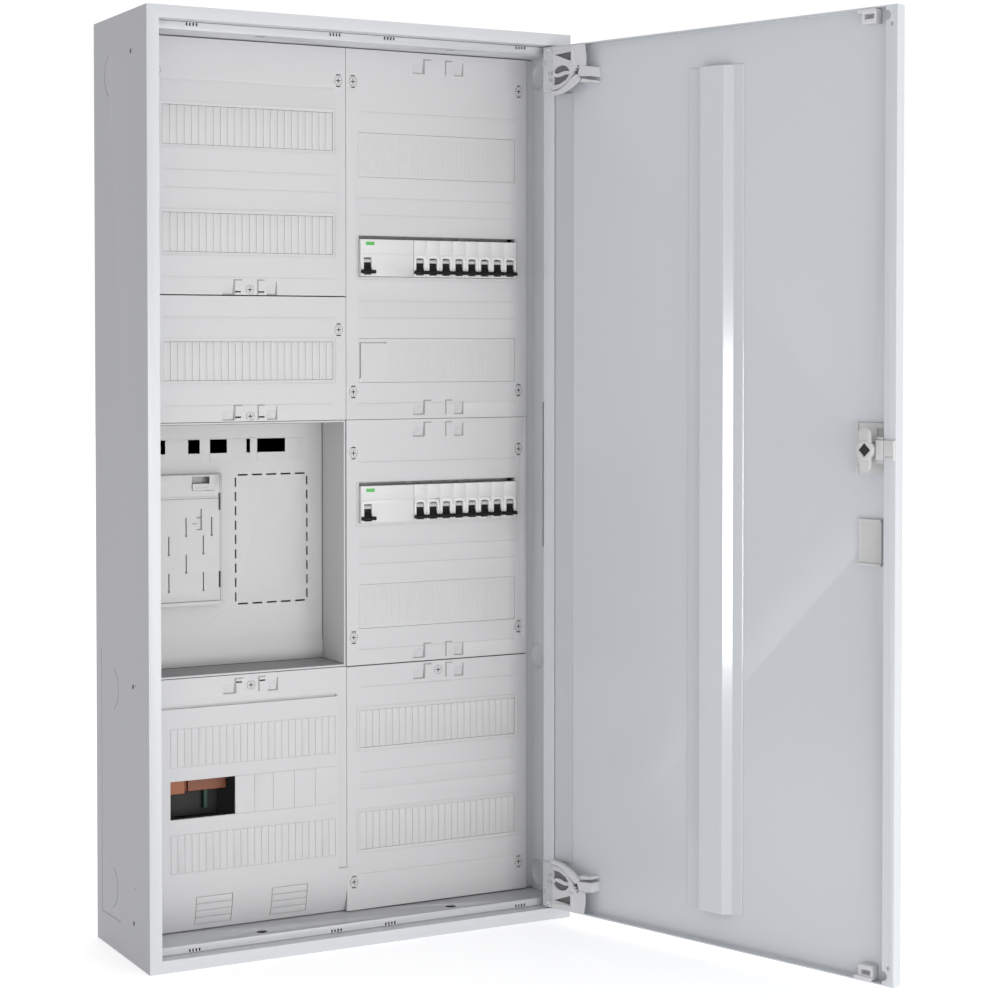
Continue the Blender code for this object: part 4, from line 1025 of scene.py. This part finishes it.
floor_mesh = bpy.data.meshes.new("floor")
floor_mesh.from_pydata(
    [
        (-FLOOR_REACH, -FLOOR_REACH, UNDERSIDE), (FLOOR_REACH, -FLOOR_REACH, UNDERSIDE),
        (FLOOR_REACH, FLOOR_REACH, UNDERSIDE), (-FLOOR_REACH, FLOOR_REACH, UNDERSIDE),
    ],
    [],
    [(0, 1, 2, 3)],
)
floor = bpy.data.objects.new("floor", floor_mesh)
scene.collection.objects.link(floor)
floor_paint = surface(
    "floor_paint", (0.86, 0.86, 0.865), 0.7, grain=120.0, bump=0.05, mottle=0.005, wear=0.0,
)
floor_shader = floor_paint.node_tree.nodes["Principled BSDF"]
floor_shader.inputs["Emission Color"].default_value = (1.0, 1.0, 1.0, 1.0)
floor_shader.inputs["Emission Strength"].default_value = FLOOR_GLOW
floor_mesh.materials.append(floor_paint)

world = bpy.data.worlds.new("studio")
scene.world = world
world.use_nodes = True
sky = world.node_tree
background = sky.nodes["Background"]
background.inputs["Color"].default_value = (1.0, 1.0, 1.0, 1.0)
facing = node(sky, "ShaderNodeTexCoord")
parts = node(sky, "ShaderNodeSeparateXYZ")
sky.links.new(facing.outputs["Generated"], parts.inputs["Vector"])
both = node(sky, "ShaderNodeMath", operation="MULTIPLY")
for number, (axis, levels) in enumerate((("Y", SKY_DEPTH), ("X", SKY_ACROSS))):
    level = node(sky, "ShaderNodeMapRange", interpolation_type="SMOOTHSTEP")
    for socket, value in zip(("From Min", "From Max", "To Min", "To Max"), levels):
        level.inputs[socket].default_value = value
    sky.links.new(parts.outputs[axis], level.inputs["Value"])
    sky.links.new(level.outputs["Result"], both.inputs[number])
sky.links.new(both.outputs["Value"], background.inputs["Strength"])


def lamp(name, place, target, size, power):
    data = bpy.data.lights.new(name, "AREA")
    data.shape = "RECTANGLE"
    data.size, data.size_y = size
    data.energy = power
    obj = bpy.data.objects.new(name, data)
    obj.location = place
    obj.rotation_euler = (Vector(target) - Vector(place)).to_track_quat("-Z", "Y").to_euler()
    scene.collection.objects.link(obj)
    return obj


# A broad light from the right, and a low wide one that fills the recess and the lower covers
lamp("key", (2.2, -4.8, 0.7), (0.0, 0.0, -0.1), (2.4, 2.4), 30.0)
lamp("low", (0.5, -3.4, -0.3), (0.1, 0.0, -0.4), (2.2, 0.4), 18.0)
# A panel seen only in the sloping side of the stiffener
glint = lamp("glint", (-0.085, -1.353, -0.089), (0.337, -0.446, -0.089), (0.34, 0.5), 7.0)
glint.visible_camera = False
glint.visible_diffuse = False

camera_data = bpy.data.cameras.new("camera")
camera_data.sensor_width = 36.0
camera_data.lens = CAMERA_LENS
camera_data.shift_y = CAMERA_SHIFT
camera_data.clip_end = 100.0
camera = bpy.data.objects.new("camera", camera_data)
camera.location = CAMERA_PLACE
camera.rotation_euler = (math.radians(90.0 + CAMERA_TILT), 0.0, math.radians(CAMERA_TURN))
scene.collection.objects.link(camera)
scene.camera = camera
scene.view_settings.view_transform = "Standard"
